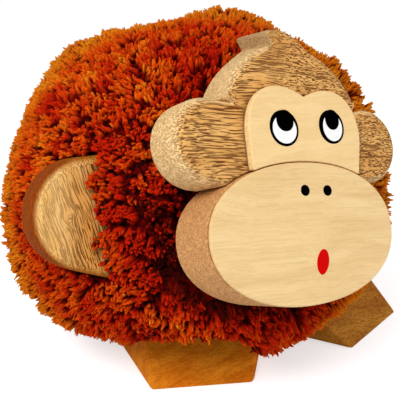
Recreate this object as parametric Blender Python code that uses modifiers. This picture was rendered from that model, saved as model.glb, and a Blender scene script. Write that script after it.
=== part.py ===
"""Wooden monkey with a yarn pile body, as an assembly of separate wooden pieces.

The monkey faces -Y, +X is on the right of someone who looks at its face, and +Z is up.
"Left" and "right" in the names are the monkey's own, so its right side is at -X.
All sizes are in millimetres and are turned into metres by MM when a mesh is made.
"""
import math

import bmesh
import bpy
from mathutils import Matrix, Vector

MM = 0.001

# Clearances between neighbouring pieces
GLUE_GAP = 0.3          # two faces that are glued together
PEG_GAP = 0.3           # round a peg or dowel, all the way
PILE_GAP = 0.5          # between the pile and a piece that stands in it
HEAD_GAP = 0.8          # between the back of the head and the pile it turns against
SIDES = {"right": -1.0, "left": 1.0}

# Turned wooden core inside the body
CORE_RADIUS = 47.0
CORE_FLAT_DEPTH = 3.3   # planed off underneath, where it stands on the feet

# Yarn pile round the core, to the middle of its uneven tips, flat underneath and clear of the table
PILE_RADIUS = 84.8
PILE_HEIGHT = 63.8      # its widest level above the table
PILE_RISE = 76.7        # from there up to its crown
PILE_DEPTH = 56.2       # from there down to its flat underside
PILE_FULLNESS = 2.1     # 2 is an ellipse, more is fuller
PILE_UNDER_FULLNESS = 3.0

# Head: the pose of its flat front, with its origin on the neck peg
HEAD_PLACE = (1.8, -74.1, 103.9)
HEAD_TURN = 9.0         # degrees towards the monkey's left
HEAD_LEAN = 22.4        # degrees backwards
HEAD_TILT = -11.5       # degrees about the peg, the pose it was found in

# Head block: dome, ears and crest sawn from one board
HEAD_THICKNESS = 16.5
DOME_HALF_WIDTH = 34.0
DOME_HALF_HEIGHT = 32.0
DOME_CENTRE_Y = 2.0
EAR_REACH = 53.0        # from the face's midline to the tip of an ear
EAR_HALF_HEIGHT = 14.2
EAR_TIP_LENGTH = 15.0   # the part of the ear that is rounded
EAR_CENTRE_Y = -1.0
CREST_HEIGHT = 5.0      # above the dome
CREST_LEFT_X = -11.4
CREST_RIGHT_X = 6.4
HEAD_EDGE = 2.6         # rounding of its edges

# Muzzle: a thick oval block with a thin pale oval on its front
MUZZLE_HALF_WIDTH = 42.3
MUZZLE_HALF_HEIGHT = 23.7
MUZZLE_FULLNESS = 2.16
MUZZLE_OFFSET_X = -3.3  # it is glued a little off the face's midline
MUZZLE_DROP = 32.0      # its centre below the neck peg
MUZZLE_THICKNESS = 17.2
LIP_THICKNESS = 1.5
PLATE_EDGE = 0.4        # the small bevel round both pale plates

# Face plate: two rounded brows over the muzzle
FACE_THICKNESS = 3.0
FACE_HALF_WIDTH = 26.5
FACE_TOP_Y = 17.2
FACE_BROW_X = 11.3      # the highest point of each brow
FACE_NOTCH_DEPTH = 3.2
FACE_FULLNESS = 2.3
FACE_CHEEK_X = 24.0     # its half width where it meets the muzzle

# Neck peg and the two dowels that carry the muzzle
PEG_RADIUS = 6.0
PEG_DEPTH = 11.0
PEG_LENGTH = 58.0
MUZZLE_DOWEL_RADIUS = 3.0
MUZZLE_DOWEL_LENGTH = 22.0
MUZZLE_DOWEL_X = 17.0
MUZZLE_DOWEL_DEPTH = 11.0

# Arms: paddles with round ends that stand out of the pile on each side.
# They share one tilted axis, which is in line with the head.
ARMS_PLACE = (0.0, -43.6, 63.0)
ARMS_TURN = 2.0         # degrees towards the monkey's left
ARMS_TILT = 15.0        # degrees, its left arm down
ARM_LEAN = 15.0         # degrees backwards
ARM_SINK = 14.8         # the centre of a round end inside the pile's widest radius
ARM_THICKNESS = 15.0
ARM_TIP_RADIUS = 19.5
ARM_FLARE = 12.0        # degrees that each edge opens towards the body
ARM_ROOT_LENGTH = 20.0  # from the centre of the round end to its root
ARM_SHOW_LENGTH = 2.5   # the pile in front of the arm starts this far inside that centre
ARM_EDGE = 2.0
ARM_DOWEL_RADIUS = 4.0
ARM_DOWEL_DEPTH = 16.0
ARM_DOWEL_LENGTH = 52.0

# Feet: two blocks side by side under the body, their toes sawn to a slope
FEET_PLACE = (16.5, -48.6)      # the middle of the toes
FEET_TURN = -3.8                # degrees
FOOT_HEIGHT = 18.0
TOE_TIP_OFFSET = 25.5            # the tip of each toe from the middle line
TOE_TIP_LENGTH = 14.7            # and how far it stands out past the outer corner
FOOT_OUTER_OFFSET = 64.6         # the outer corner from the middle line
FOOT_NOTCH_DEPTH = 17.5         # how deep the notch between the feet is sawn
HEEL_SETBACK = 57.0
HEEL_CORNER = 16.0              # the heel's outer corner is sawn off
TOE_SLOPE = 40.0                # degrees from the table
FOOT_SIDE_LEAN = 18.0           # degrees that its outer side leans in
TOE_SHOW_DEPTH = 9.5            # how far behind the toe's edge the pile over a foot starts
TOE_SHOW_HEIGHT = 11.0          # and how high above the table
TOE_SHOW_SLOPE = 35.0           # degrees that the pile rises forwards from there
TOE_SHOW_SPARE = 8.0            # how far past the toe's ends that room goes
FOOT_EDGE = 2.5
FOOT_DOWEL_RADIUS = 4.0
FOOT_DOWEL_OFFSET = 14.0
FOOT_DOWEL_SETBACK = 44.0
FOOT_DOWEL_DEPTH = 10.0
FOOT_DOWEL_LENGTH = 36.0

# Facets
ROUND_STEPS = 24
DOWEL_STEPS = 16
CORE_STEPS = 40
PILE_STEPS = 56
PILE_RINGS = 10         # over the widest level, and again under it
REACH = 400.0           # longer than the whole monkey, for cutters
OVERRUN = 5.0           # how far a cutter starts before the face that it cuts
SHARP_ANGLE = 40.0      # degrees between faces from which an edge shows

# What follows from the sizes above
CORE_HEIGHT = FOOT_HEIGHT + GLUE_GAP + CORE_RADIUS - CORE_FLAT_DEPTH
ARM_REACH = PILE_RADIUS - ARM_SINK

# The front planes of the head, measured along its own z from the front of the face
HEAD_FRONT = -FACE_THICKNESS - GLUE_GAP
HEAD_BACK = HEAD_FRONT - HEAD_THICKNESS
MUZZLE_FRONT = -LIP_THICKNESS - GLUE_GAP
MUZZLE_BACK = MUZZLE_FRONT - MUZZLE_THICKNESS
SEAT = min(HEAD_BACK, MUZZLE_BACK) - HEAD_GAP


def collection(name):
    group = bpy.data.collections.new(name)
    bpy.context.scene.collection.children.link(group)
    return group


def clear_scene():
    for item in list(bpy.data.objects):
        bpy.data.objects.remove(item)


def material(name, colour, roughness):
    finish = bpy.data.materials.new(name)
    finish.use_nodes = True
    shader = finish.node_tree.nodes["Principled BSDF"]
    shader.inputs["Base Color"].default_value = (*colour, 1.0)
    shader.inputs["Roughness"].default_value = roughness
    shader.inputs["Metallic"].default_value = 0.0
    return finish


def add_object(name, mesh, group, colour=(0.5, 0.5, 0.5), roughness=0.6):
    item = bpy.data.objects.new(name, mesh)
    group.objects.link(item)
    mesh.materials.append(material(name, colour, roughness))
    return item


def smooth_mesh(name, bm):
    """The finished mesh, shaded smooth but for its real edges."""
    mesh = bpy.data.meshes.new(name)
    bm.to_mesh(mesh)
    bm.free()
    mesh.shade_smooth()
    mesh.set_sharp_from_angle(angle=math.radians(SHARP_ANGLE))
    return mesh


def slab_mesh(name, outline, low, high):
    """A flat board: the outline, anticlockwise in x and y, from z = low to z = high."""
    bm = bmesh.new()
    points = [bm.verts.new(Vector((x, y, low)) * MM) for x, y in outline]
    face = bm.faces.new(points)
    grown = bmesh.ops.extrude_face_region(bm, geom=[face])
    lifted = [item for item in grown["geom"] if isinstance(item, bmesh.types.BMVert)]
    bmesh.ops.translate(bm, vec=Vector((0, 0, (high - low) * MM)), verts=lifted)
    bmesh.ops.recalc_face_normals(bm, faces=bm.faces)
    return smooth_mesh(name, bm)


def rod_mesh(name, radius, length, steps=DOWEL_STEPS):
    """A rod along +z that starts at the origin."""
    bm = bmesh.new()
    bmesh.ops.create_cone(bm, cap_ends=True, segments=steps, radius1=radius * MM, radius2=radius * MM,
                          depth=length * MM, matrix=Matrix.Translation((0, 0, length * MM / 2)))
    return smooth_mesh(name, bm)


def box_mesh(name, low, high):
    bm = bmesh.new()
    bmesh.ops.create_cube(bm, size=1.0)
    for vert in bm.verts:
        vert.co = Vector([(low[i] if vert.co[i] < 0 else high[i]) * MM for i in range(3)])
    mesh = bpy.data.meshes.new(name)
    bm.to_mesh(mesh)
    bm.free()
    return mesh


def turned(name, profile, group, steps, **looks):
    """A turned piece: the profile, from its top at the axis down its outer side and back to the axis."""
    mesh = bpy.data.meshes.new(name)
    mesh.from_pydata([(r * MM, 0, z * MM) for r, z in profile], [(i, i + 1) for i in range(len(profile) - 1)], [])
    item = add_object(name, mesh, group, **looks)
    screw = item.modifiers.new("turn", "SCREW")
    screw.steps = screw.render_steps = steps
    screw.use_smooth_shade = True
    screw.use_merge_vertices = True
    screw.merge_threshold = 0.00005
    return item


def edge_bevel(item, width, segments=2, angle=40.0):
    bevel = item.modifiers.new("edge", "BEVEL")
    bevel.width = width * MM
    bevel.segments = segments
    bevel.limit_method = "ANGLE"
    bevel.angle_limit = math.radians(angle)


def cut(item, cutter):
    """Take the cutter's space out of the item."""
    cutter.hide_render = True
    cutter.display_type = "WIRE"
    saw = item.modifiers.new("cut_" + cutter.name, "BOOLEAN")
    saw.operation = "DIFFERENCE"
    saw.object = cutter


def oval(centre, half_width, half_height, fullness, grow=0.0, steps=72, start=0.0, end=360.0):
    """Points on a superellipse, anticlockwise; the end point is left out of a full turn."""
    points = []
    full = end - start >= 360.0
    for i in range(steps if full else steps + 1):
        angle = math.radians(start + (end - start) * i / steps)
        c, s = math.cos(angle), math.sin(angle)
        x = math.copysign(abs(c) ** (2 / fullness), c) * (half_width + grow)
        y = math.copysign(abs(s) ** (2 / fullness), s) * (half_height + grow)
        points.append((centre[0] + x, centre[1] + y))
    return points


def muzzle_outline(grow=0.0, steps=72):
    return oval((MUZZLE_OFFSET_X, -MUZZLE_DROP), MUZZLE_HALF_WIDTH, MUZZLE_HALF_HEIGHT, MUZZLE_FULLNESS, grow, steps)


def muzzle_top(x, grow=0.0):
    """Height of the muzzle's upper edge at x."""
    share = min(abs(x - MUZZLE_OFFSET_X) / (MUZZLE_HALF_WIDTH + grow), 1.0)
    return -MUZZLE_DROP + (MUZZLE_HALF_HEIGHT + grow) * (1 - share ** MUZZLE_FULLNESS) ** (1 / MUZZLE_FULLNESS)


def dome_y(x):
    return DOME_CENTRE_Y + DOME_HALF_HEIGHT * math.sqrt(max(1 - (x / DOME_HALF_WIDTH) ** 2, 0.0))


def dome_x(y):
    return DOME_HALF_WIDTH * math.sqrt(max(1 - ((y - DOME_CENTRE_Y) / DOME_HALF_HEIGHT) ** 2, 0.0))


def ear_tip(side, steps=14):
    """The round end of one ear, from its top to its bottom."""
    centre_x = EAR_REACH - EAR_TIP_LENGTH
    points = []
    for i in range(steps + 1):
        angle = math.radians(90 - 180 * i / steps)
        points.append((side * (centre_x + EAR_TIP_LENGTH * math.cos(angle)),
                       EAR_CENTRE_Y + EAR_HALF_HEIGHT * math.sin(angle)))
    return points


def head_outline():
    """Dome, crest and ears over the curve that fits round the muzzle, anticlockwise."""
    ear_top = EAR_CENTRE_Y + EAR_HALF_HEIGHT
    ear_bottom = EAR_CENTRE_Y - EAR_HALF_HEIGHT
    corner_x = dome_x(ear_top)
    crest_top = dome_y(0.0) + CREST_HEIGHT
    first = math.degrees(math.atan2((ear_top - DOME_CENTRE_Y) / DOME_HALF_HEIGHT, corner_x / DOME_HALF_WIDTH))
    dome = oval((0, DOME_CENTRE_Y), DOME_HALF_WIDTH, DOME_HALF_HEIGHT, 2.0, 0.0, 36, first, 180 - first)
    right_dome = [p for p in dome if p[0] > CREST_RIGHT_X + 1.0]
    left_dome = [p for p in dome if p[0] < CREST_LEFT_X + 0.5]
    crest = [(CREST_RIGHT_X, dome_y(CREST_RIGHT_X)),
             (CREST_RIGHT_X * 0.36, crest_top - CREST_HEIGHT * 0.68),
             (CREST_LEFT_X * 0.15, crest_top - CREST_HEIGHT * 0.26),
             (CREST_LEFT_X * 0.5, crest_top),
             (CREST_LEFT_X * 0.93, crest_top),
             (CREST_LEFT_X, crest_top - CREST_HEIGHT * 0.16),
             (CREST_LEFT_X + 2.0, dome_y(CREST_LEFT_X + 2.0))]
    grow = GLUE_GAP
    lowest = []
    end_x = {}
    for side in (1.0, -1.0):
        inner, outer = MUZZLE_OFFSET_X, side * EAR_REACH
        for _ in range(40):
            middle = (inner + outer) / 2
            if muzzle_top(middle, grow) > ear_bottom:
                inner = middle
            else:
                outer = middle
        end_x[side] = inner
    steps = 30
    for i in range(steps + 1):
        x = end_x[-1.0] + (end_x[1.0] - end_x[-1.0]) * i / steps
        lowest.append((x, muzzle_top(x, grow)))
    right_ear = list(reversed(ear_tip(1.0)))
    left_ear = ear_tip(-1.0)
    return lowest + right_ear + [p for p in dome[:1]] + right_dome[1:] + crest + left_dome[:-1] + [dome[-1]] + left_ear


def face_outline():
    """The pale face: two brows and a notch over an edge that follows the muzzle, anticlockwise."""
    grow = GLUE_GAP
    steps = 24
    low = -FACE_CHEEK_X
    bottom = [(low + 2 * FACE_CHEEK_X * i / steps, muzzle_top(low + 2 * FACE_CHEEK_X * i / steps, grow))
              for i in range(steps + 1)]
    cheek = oval((FACE_BROW_X, 0.0), FACE_HALF_WIDTH - FACE_BROW_X, FACE_TOP_Y, FACE_FULLNESS, 0.0, 12, 0.0, 90.0)
    brow = [(FACE_BROW_X * (1 - i / 5), FACE_TOP_Y - FACE_NOTCH_DEPTH * (i / 5) ** 2) for i in range(1, 5)]
    notch = [(0.0, FACE_TOP_Y - FACE_NOTCH_DEPTH)]
    right = cheek + brow
    left = [(-x, y) for x, y in reversed(right)]
    return bottom + right + notch + left


def arm_outline(side, root_length=ARM_ROOT_LENGTH, grow=0.0, steps=22):
    """A round end whose straight edges open towards the body, anticlockwise for either side."""
    radius = ARM_TIP_RADIUS + grow
    root = -root_length - grow
    last = 90.0 - ARM_FLARE
    points = []
    for i in range(steps + 1):
        angle = math.radians(-last + 2 * last * i / steps)
        points.append((radius * math.cos(angle), radius * math.sin(angle)))
    end = points[-1]
    height = end[1] + (end[0] - root) * math.tan(math.radians(ARM_FLARE))
    points = points + [(root, height), (root, -height)]
    if side < 0:
        points = [(-x, y) for x, y in reversed(points)]
    return points


def head_matrix():
    turn = Matrix.Rotation(math.radians(HEAD_TURN), 4, "Z")
    lean = Matrix.Rotation(math.radians(90.0 - HEAD_LEAN), 4, "X")
    tilt = Matrix.Rotation(math.radians(HEAD_TILT), 4, "Z")
    return Matrix.Translation(Vector(HEAD_PLACE) * MM) @ turn @ lean @ tilt


def feet_matrix():
    return (Matrix.Translation(Vector((*FEET_PLACE, 0.0)) * MM)
            @ Matrix.Rotation(math.radians(FEET_TURN), 4, "Z"))


def arm_matrix(side):
    """Board coordinates to the body's: board x is out along the arms' axis, board z faces the front."""
    middle = (Matrix.Translation(Vector(ARMS_PLACE) * MM) @ Matrix.Rotation(math.radians(ARMS_TURN), 4, "Z")
              @ Matrix.Rotation(math.radians(ARMS_TILT), 4, "Y"))
    return (middle @ Matrix.Translation((side * ARM_REACH * MM, 0, 0))
            @ Matrix.Rotation(math.radians(90 - ARM_LEAN), 4, "X"))


def head_frame(group):
    empty = bpy.data.objects.new("head_frame", None)
    empty.matrix_world = head_matrix()
    group.objects.link(empty)
    return empty


def make_core(parts, cutters):
    """A turned ball with a flat that stands on the feet, drilled for the pegs."""
    flat = CORE_FLAT_DEPTH - CORE_RADIUS
    lowest = math.degrees(math.asin(flat / CORE_RADIUS))
    rings = 18
    profile = [(0.0, CORE_RADIUS)]
    for i in range(1, rings + 1):
        angle = math.radians(90 + (lowest - 90) * i / rings)
        profile.append((CORE_RADIUS * math.cos(angle), CORE_RADIUS * math.sin(angle)))
    profile.append((0.0, flat))
    core = turned("body_core", profile, parts, CORE_STEPS, colour=(0.62, 0.44, 0.26), roughness=0.7)
    core.location = (0, 0, CORE_HEIGHT * MM)
    return core


def peg_tool(name, radius, length, matrix, start, group):
    """A rod along the matrix's -z, from start, as a cutter."""
    tool = add_object(name, rod_mesh(name, radius, length), group)
    tool.matrix_world = matrix @ Matrix.Translation((0, 0, start * MM)) @ Matrix.Rotation(math.pi, 4, "X")
    return tool


def make_head(parts, cutters, frame):
    """The head's four wooden pieces, its peg and its dowels, all children of the head frame."""
    block = add_object("head_block", slab_mesh("head_block", head_outline(), HEAD_BACK, HEAD_FRONT), parts,
                       colour=(0.50, 0.28, 0.13), roughness=0.6)
    edge_bevel(block, HEAD_EDGE, 3, 60.0)
    face = add_object("face_plate", slab_mesh("face_plate", face_outline(), -FACE_THICKNESS, 0.0), parts,
                      colour=(0.86, 0.68, 0.40), roughness=0.45)
    edge_bevel(face, PLATE_EDGE, 1, 60.0)
    muzzle = add_object("muzzle_block", slab_mesh("muzzle_block", muzzle_outline(), MUZZLE_BACK, MUZZLE_FRONT), parts,
                        colour=(0.55, 0.34, 0.18), roughness=0.55)
    lip = add_object("muzzle_plate", slab_mesh("muzzle_plate", muzzle_outline(), -LIP_THICKNESS, 0.0), parts,
                     colour=(0.86, 0.68, 0.40), roughness=0.45)
    edge_bevel(lip, PLATE_EDGE, 1, 60.0)
    for piece in (block, face, muzzle, lip):
        piece.parent = frame

    matrix = head_matrix()
    hole_start = HEAD_BACK + PEG_DEPTH
    peg = add_object("neck_peg", rod_mesh("neck_peg", PEG_RADIUS, PEG_LENGTH, ROUND_STEPS), parts,
                     colour=(0.70, 0.50, 0.28), roughness=0.6)
    peg.parent = frame
    peg.rotation_euler = (math.pi, 0, 0)
    peg.location = (0, 0, (hole_start - PEG_GAP) * MM)
    bore = peg_tool("neck_bore", PEG_RADIUS + PEG_GAP, PEG_LENGTH + 3 * PEG_GAP, matrix, hole_start, cutters)
    cut(block, bore)

    middle_z = (HEAD_FRONT + HEAD_BACK) / 2
    for name, side in SIDES.items():
        x = side * MUZZLE_DOWEL_X
        top = muzzle_top(x) + GLUE_GAP + MUZZLE_DOWEL_DEPTH
        place = matrix @ Matrix.Translation((x * MM, top * MM, middle_z * MM)) @ Matrix.Rotation(-math.pi / 2, 4, "X")
        dowel = add_object("muzzle_dowel_" + name,
                           rod_mesh("muzzle_dowel_" + name, MUZZLE_DOWEL_RADIUS, MUZZLE_DOWEL_LENGTH), parts,
                           colour=(0.72, 0.54, 0.32), roughness=0.6)
        dowel.matrix_world = place @ Matrix.Rotation(math.pi, 4, "X")
        bore = add_object("muzzle_bore_" + name,
                          rod_mesh("muzzle_bore_" + name, MUZZLE_DOWEL_RADIUS + PEG_GAP,
                                   MUZZLE_DOWEL_LENGTH + 2 * PEG_GAP), cutters)
        bore.matrix_world = (place @ Matrix.Rotation(math.pi, 4, "X")
                             @ Matrix.Translation((0, 0, -PEG_GAP * MM)))
        cut(block, bore)
        cut(muzzle, bore)
    return peg


def make_arm(name, side, parts, cutters):
    """One arm and its dowel; what they take out of the pile comes back as cutters, the bore first."""
    frame = arm_matrix(side)
    arm = add_object("arm_" + name, slab_mesh("arm_" + name, arm_outline(side), -ARM_THICKNESS, 0.0), parts,
                     colour=(0.56, 0.34, 0.15), roughness=0.6)
    arm.matrix_world = frame
    edge_bevel(arm, ARM_EDGE, 2, 60.0)

    start = Vector((side * (ARM_DOWEL_DEPTH - ARM_ROOT_LENGTH), 0, -ARM_THICKNESS / 2)) * MM
    place = frame @ Matrix.Translation(start) @ Matrix.Rotation(-side * math.pi / 2, 4, "Y")
    dowel = add_object("arm_dowel_" + name, rod_mesh("arm_dowel_" + name, ARM_DOWEL_RADIUS, ARM_DOWEL_LENGTH), parts,
                       colour=(0.72, 0.54, 0.32), roughness=0.6)
    dowel.matrix_world = place
    bore = add_object("arm_bore_" + name, rod_mesh("arm_bore_" + name, ARM_DOWEL_RADIUS + PEG_GAP,
                                                   ARM_DOWEL_LENGTH + 2 * PEG_GAP), cutters)
    bore.matrix_world = place @ Matrix.Translation((0, 0, -PEG_GAP * MM))
    cut(arm, bore)

    socket = add_object("arm_socket_" + name,
                        slab_mesh("arm_socket_" + name, arm_outline(side, grow=PILE_GAP),
                                  -ARM_THICKNESS - PILE_GAP, PILE_GAP), cutters)
    show = add_object("arm_show_" + name,
                      slab_mesh("arm_show_" + name, arm_outline(side, root_length=ARM_SHOW_LENGTH, grow=3 * PILE_GAP),
                                -ARM_EDGE, REACH), cutters)
    for tool in (socket, show):
        tool.matrix_world = frame
    return [bore, socket, show]


def moved_edges(points, steps):
    """The outline with each edge moved inwards by its own step; edge i starts at point i."""
    count = len(points)
    lines = []
    for i in range(count):
        along = (points[(i + 1) % count] - points[i]).normalized()
        inward = Vector((-along.y, along.x))
        lines.append((points[i] + inward * steps[i], along))
    moved = []
    for i in range(count):
        start, along = lines[i - 1]
        other_start, other = lines[i]
        cross = along.x * other.y - along.y * other.x
        gap = other_start - start
        moved.append(start + along * ((gap.x * other.y - gap.y * other.x) / cross))
    return moved


def toe_ends():
    """The left toe's edge on the table, from its tip to the outer corner, in the feet's own u and v."""
    return Vector((TOE_TIP_OFFSET, -TOE_TIP_LENGTH)), Vector((FOOT_OUTER_OFFSET, 0.0))


def foot_points(side, grow=0.0):
    """The foot's sole and top outlines in the feet's own u and v, toe first."""
    middle = GLUE_GAP / 2
    tip, corner = toe_ends()
    sole = [tip, corner, Vector((FOOT_OUTER_OFFSET, HEEL_SETBACK - HEEL_CORNER)),
            Vector((FOOT_OUTER_OFFSET - HEEL_CORNER, HEEL_SETBACK)), Vector((middle, HEEL_SETBACK)),
            Vector((middle, FOOT_NOTCH_DEPTH))]
    slope = math.radians(TOE_SLOPE)
    lean = math.radians(FOOT_SIDE_LEAN)
    spare = [grow / math.sin(slope), grow / math.cos(lean), grow, grow, grow, grow]
    rise = [FOOT_HEIGHT / math.tan(slope), FOOT_HEIGHT * math.tan(lean), 0.0, 0.0, 0.0, 0.0]
    low = moved_edges(sole, [-step for step in spare])
    top = moved_edges(sole, [step - more for step, more in zip(rise, spare)])
    if side < 0:
        low = [Vector((-p.x, p.y)) for p in reversed(low)]
        top = [Vector((-p.x, p.y)) for p in reversed(top)]
    return low, top


def foot_mesh(name, side, grow=0.0):
    """A block whose toe and outer side slope in, so its sole and its top are unlike outlines."""
    sole, top = foot_points(side, grow)
    bm = bmesh.new()
    lower = [bm.verts.new(Vector((p.x, p.y, 0.0)) * MM) for p in sole]
    upper = [bm.verts.new(Vector((p.x, p.y, FOOT_HEIGHT)) * MM) for p in top]
    count = len(lower)
    bm.faces.new(list(reversed(lower)))
    bm.faces.new(upper)
    for i in range(count):
        j = (i + 1) % count
        bm.faces.new((lower[i], lower[j], upper[j], upper[i]))
    bmesh.ops.recalc_face_normals(bm, faces=bm.faces)
    for vert in bm.verts:
        vert.co.z += (grow if vert.co.z > 0 else -grow) * MM
    mesh = bpy.data.meshes.new(name)
    bm.to_mesh(mesh)
    bm.free()
    return mesh


def make_foot(name, side, parts, cutters):
    """One foot and its dowel; what they take out of the pile comes back as cutters, the bore first."""
    foot = add_object("foot_" + name, foot_mesh("foot_" + name, side), parts,
                      colour=(0.52, 0.28, 0.08), roughness=0.6)
    foot.matrix_world = feet_matrix()
    edge_bevel(foot, FOOT_EDGE, 2, 30.0)
    start = FOOT_HEIGHT - FOOT_DOWEL_DEPTH
    place = feet_matrix() @ Matrix.Translation((side * FOOT_DOWEL_OFFSET * MM, FOOT_DOWEL_SETBACK * MM, start * MM))
    dowel = add_object("foot_dowel_" + name, rod_mesh("foot_dowel_" + name, FOOT_DOWEL_RADIUS, FOOT_DOWEL_LENGTH),
                       parts, colour=(0.72, 0.54, 0.32), roughness=0.6)
    dowel.matrix_world = place
    bore = add_object("foot_bore_" + name, rod_mesh("foot_bore_" + name, FOOT_DOWEL_RADIUS + PEG_GAP,
                                                    FOOT_DOWEL_LENGTH + 2 * PEG_GAP), cutters)
    bore.matrix_world = place @ Matrix.Translation((0, 0, -PEG_GAP * MM))
    cut(foot, bore)
    socket = add_object("foot_socket_" + name, foot_mesh("foot_socket_" + name, side, PILE_GAP), cutters)
    socket.matrix_world = feet_matrix()
    tip, corner = toe_ends()
    toe = corner - tip
    middle = (tip + corner) / 2
    half = toe.length / 2 + TOE_SHOW_SPARE
    show = add_object("foot_show_" + name, box_mesh("foot_show_" + name, (-half, -REACH, -FOOT_HEIGHT),
                                                    (half, 0.0, 0.0)), cutters)
    show.matrix_world = (feet_matrix() @ Matrix.Translation((side * middle.x * MM, middle.y * MM, 0))
                         @ Matrix.Rotation(side * math.atan2(toe.y, toe.x), 4, "Z")
                         @ Matrix.Translation((0, TOE_SHOW_DEPTH * MM, TOE_SHOW_HEIGHT * MM))
                         @ Matrix.Rotation(math.radians(-TOE_SHOW_SLOPE), 4, "X"))
    return [bore, socket, show]


def make_pile(parts, cutters, tools):
    """The yarn pile as one soft solid: a squat ball with room for all that stands in it."""
    profile = [(0.0, PILE_RISE)]
    for rise, fullness, start, end in ((PILE_RISE, PILE_FULLNESS, 90, 0),
                                       (PILE_DEPTH, PILE_UNDER_FULLNESS, 0, -90)):
        for i in range(1, PILE_RINGS + 1):
            angle = math.radians(start + (end - start) * i / PILE_RINGS)
            c, s = abs(math.cos(angle)), math.sin(angle)
            profile.append((PILE_RADIUS * c ** (2 / fullness), math.copysign(abs(s) ** (2 / fullness), s) * rise))
    profile[-1] = (0.0, -PILE_DEPTH)
    pile = turned("yarn_pile", profile, parts, PILE_STEPS, colour=(0.62, 0.13, 0.02), roughness=0.95)
    pile.location = (0, 0, PILE_HEIGHT * MM)

    space = bmesh.new()
    bmesh.ops.create_uvsphere(space, u_segments=CORE_STEPS, v_segments=20, radius=(CORE_RADIUS + PILE_GAP) * MM)
    mesh = bpy.data.meshes.new("core_space")
    space.to_mesh(mesh)
    space.free()
    core_space = add_object("core_space", mesh, cutters)
    core_space.location = (0, 0, CORE_HEIGHT * MM)
    seat = add_object("head_seat", box_mesh("head_seat", (-REACH, -REACH, SEAT), (REACH, REACH, REACH)), cutters)
    seat.matrix_world = head_matrix()
    neck = peg_tool("neck_space", PEG_RADIUS + PILE_GAP, PEG_LENGTH, head_matrix(), SEAT + OVERRUN, cutters)
    for tool in [core_space, seat, neck] + tools:
        cut(pile, tool)
    return pile


def main():
    clear_scene()
    parts = collection("wooden_monkey")
    cutters = collection("cutters")
    frame = head_frame(parts)
    core = make_core(parts, cutters)
    make_head(parts, cutters, frame)
    cut(core, bpy.data.objects["neck_bore"])
    tools = []
    for name, side in SIDES.items():
        for maker in (make_arm, make_foot):
            taken = maker(name, side, parts, cutters)
            cut(core, taken[0])
            tools += taken
    make_pile(parts, cutters, tools)


main()
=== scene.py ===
"""The looks of a wooden monkey with a yarn pile body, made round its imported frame.

The monkey faces -Y, +X is on the right of someone who looks at its face, and +Z is up.
"Left" and "right" are the monkey's own, so its right side is at -X. Sizes are in millimetres
and are turned into metres by MM where a mesh is made.
"""
from __future__ import annotations

import logging
import math
from dataclasses import dataclass, field
from enum import Enum

import bmesh
import bpy
import numpy as np
from mathutils import Matrix, Vector
from mathutils.kdtree import KDTree


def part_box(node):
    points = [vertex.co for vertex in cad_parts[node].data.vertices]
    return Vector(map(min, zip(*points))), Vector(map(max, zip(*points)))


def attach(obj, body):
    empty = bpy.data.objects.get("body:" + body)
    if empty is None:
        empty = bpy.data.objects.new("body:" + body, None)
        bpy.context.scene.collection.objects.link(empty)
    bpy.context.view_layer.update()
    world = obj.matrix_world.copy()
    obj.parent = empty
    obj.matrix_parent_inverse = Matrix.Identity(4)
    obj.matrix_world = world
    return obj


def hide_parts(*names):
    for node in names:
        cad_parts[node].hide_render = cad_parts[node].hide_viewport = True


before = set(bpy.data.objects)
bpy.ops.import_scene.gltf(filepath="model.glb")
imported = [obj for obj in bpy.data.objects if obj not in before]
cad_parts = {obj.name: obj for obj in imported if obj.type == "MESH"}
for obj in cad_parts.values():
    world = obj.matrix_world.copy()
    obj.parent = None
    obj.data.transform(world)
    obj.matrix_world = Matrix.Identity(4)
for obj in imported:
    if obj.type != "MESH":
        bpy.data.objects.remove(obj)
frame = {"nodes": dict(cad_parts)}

MM = 0.001
LOG = logging.getLogger("wooden_monkey")
Colour = tuple[float, float, float]
Point2 = tuple[float, float]
Point3 = tuple[float, float, float]
Outline = list[Point2]
# a spot's middle, half width and half height
Spot = tuple[float, float, float, float]
# a patch of the yarn: its azimuth, its elevation and its width in degrees, and how much it differs
Patch = tuple[float, float, float, float]
# the roots, the ends and the tones of strands
Strands = tuple[np.ndarray, np.ndarray, np.ndarray]
# where most of a noise's values lie
NOISE_RANGE = (0.36, 0.64)
GRAIN_SIZES = ("Pore Length", "Pore Width", "Pore Level", "Line Length", "Line Width", "Line Level", "Wander",
               "Short From", "Short To", "Short Length", "Swirl", "Knot X", "Knot Y", "Knot Radius")


class Side(Enum):
    """One of the monkey's own sides, with the sign of its X."""

    RIGHT = -1.0
    LEFT = 1.0

    @property
    def word(self) -> str:
        """The side's word in the names of nodes."""
        return self.name.lower()


class Flow(Enum):
    """Which way a board's grain runs, in the board's own axes."""

    ACROSS = 0.0
    UPRIGHT = 90.0


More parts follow.
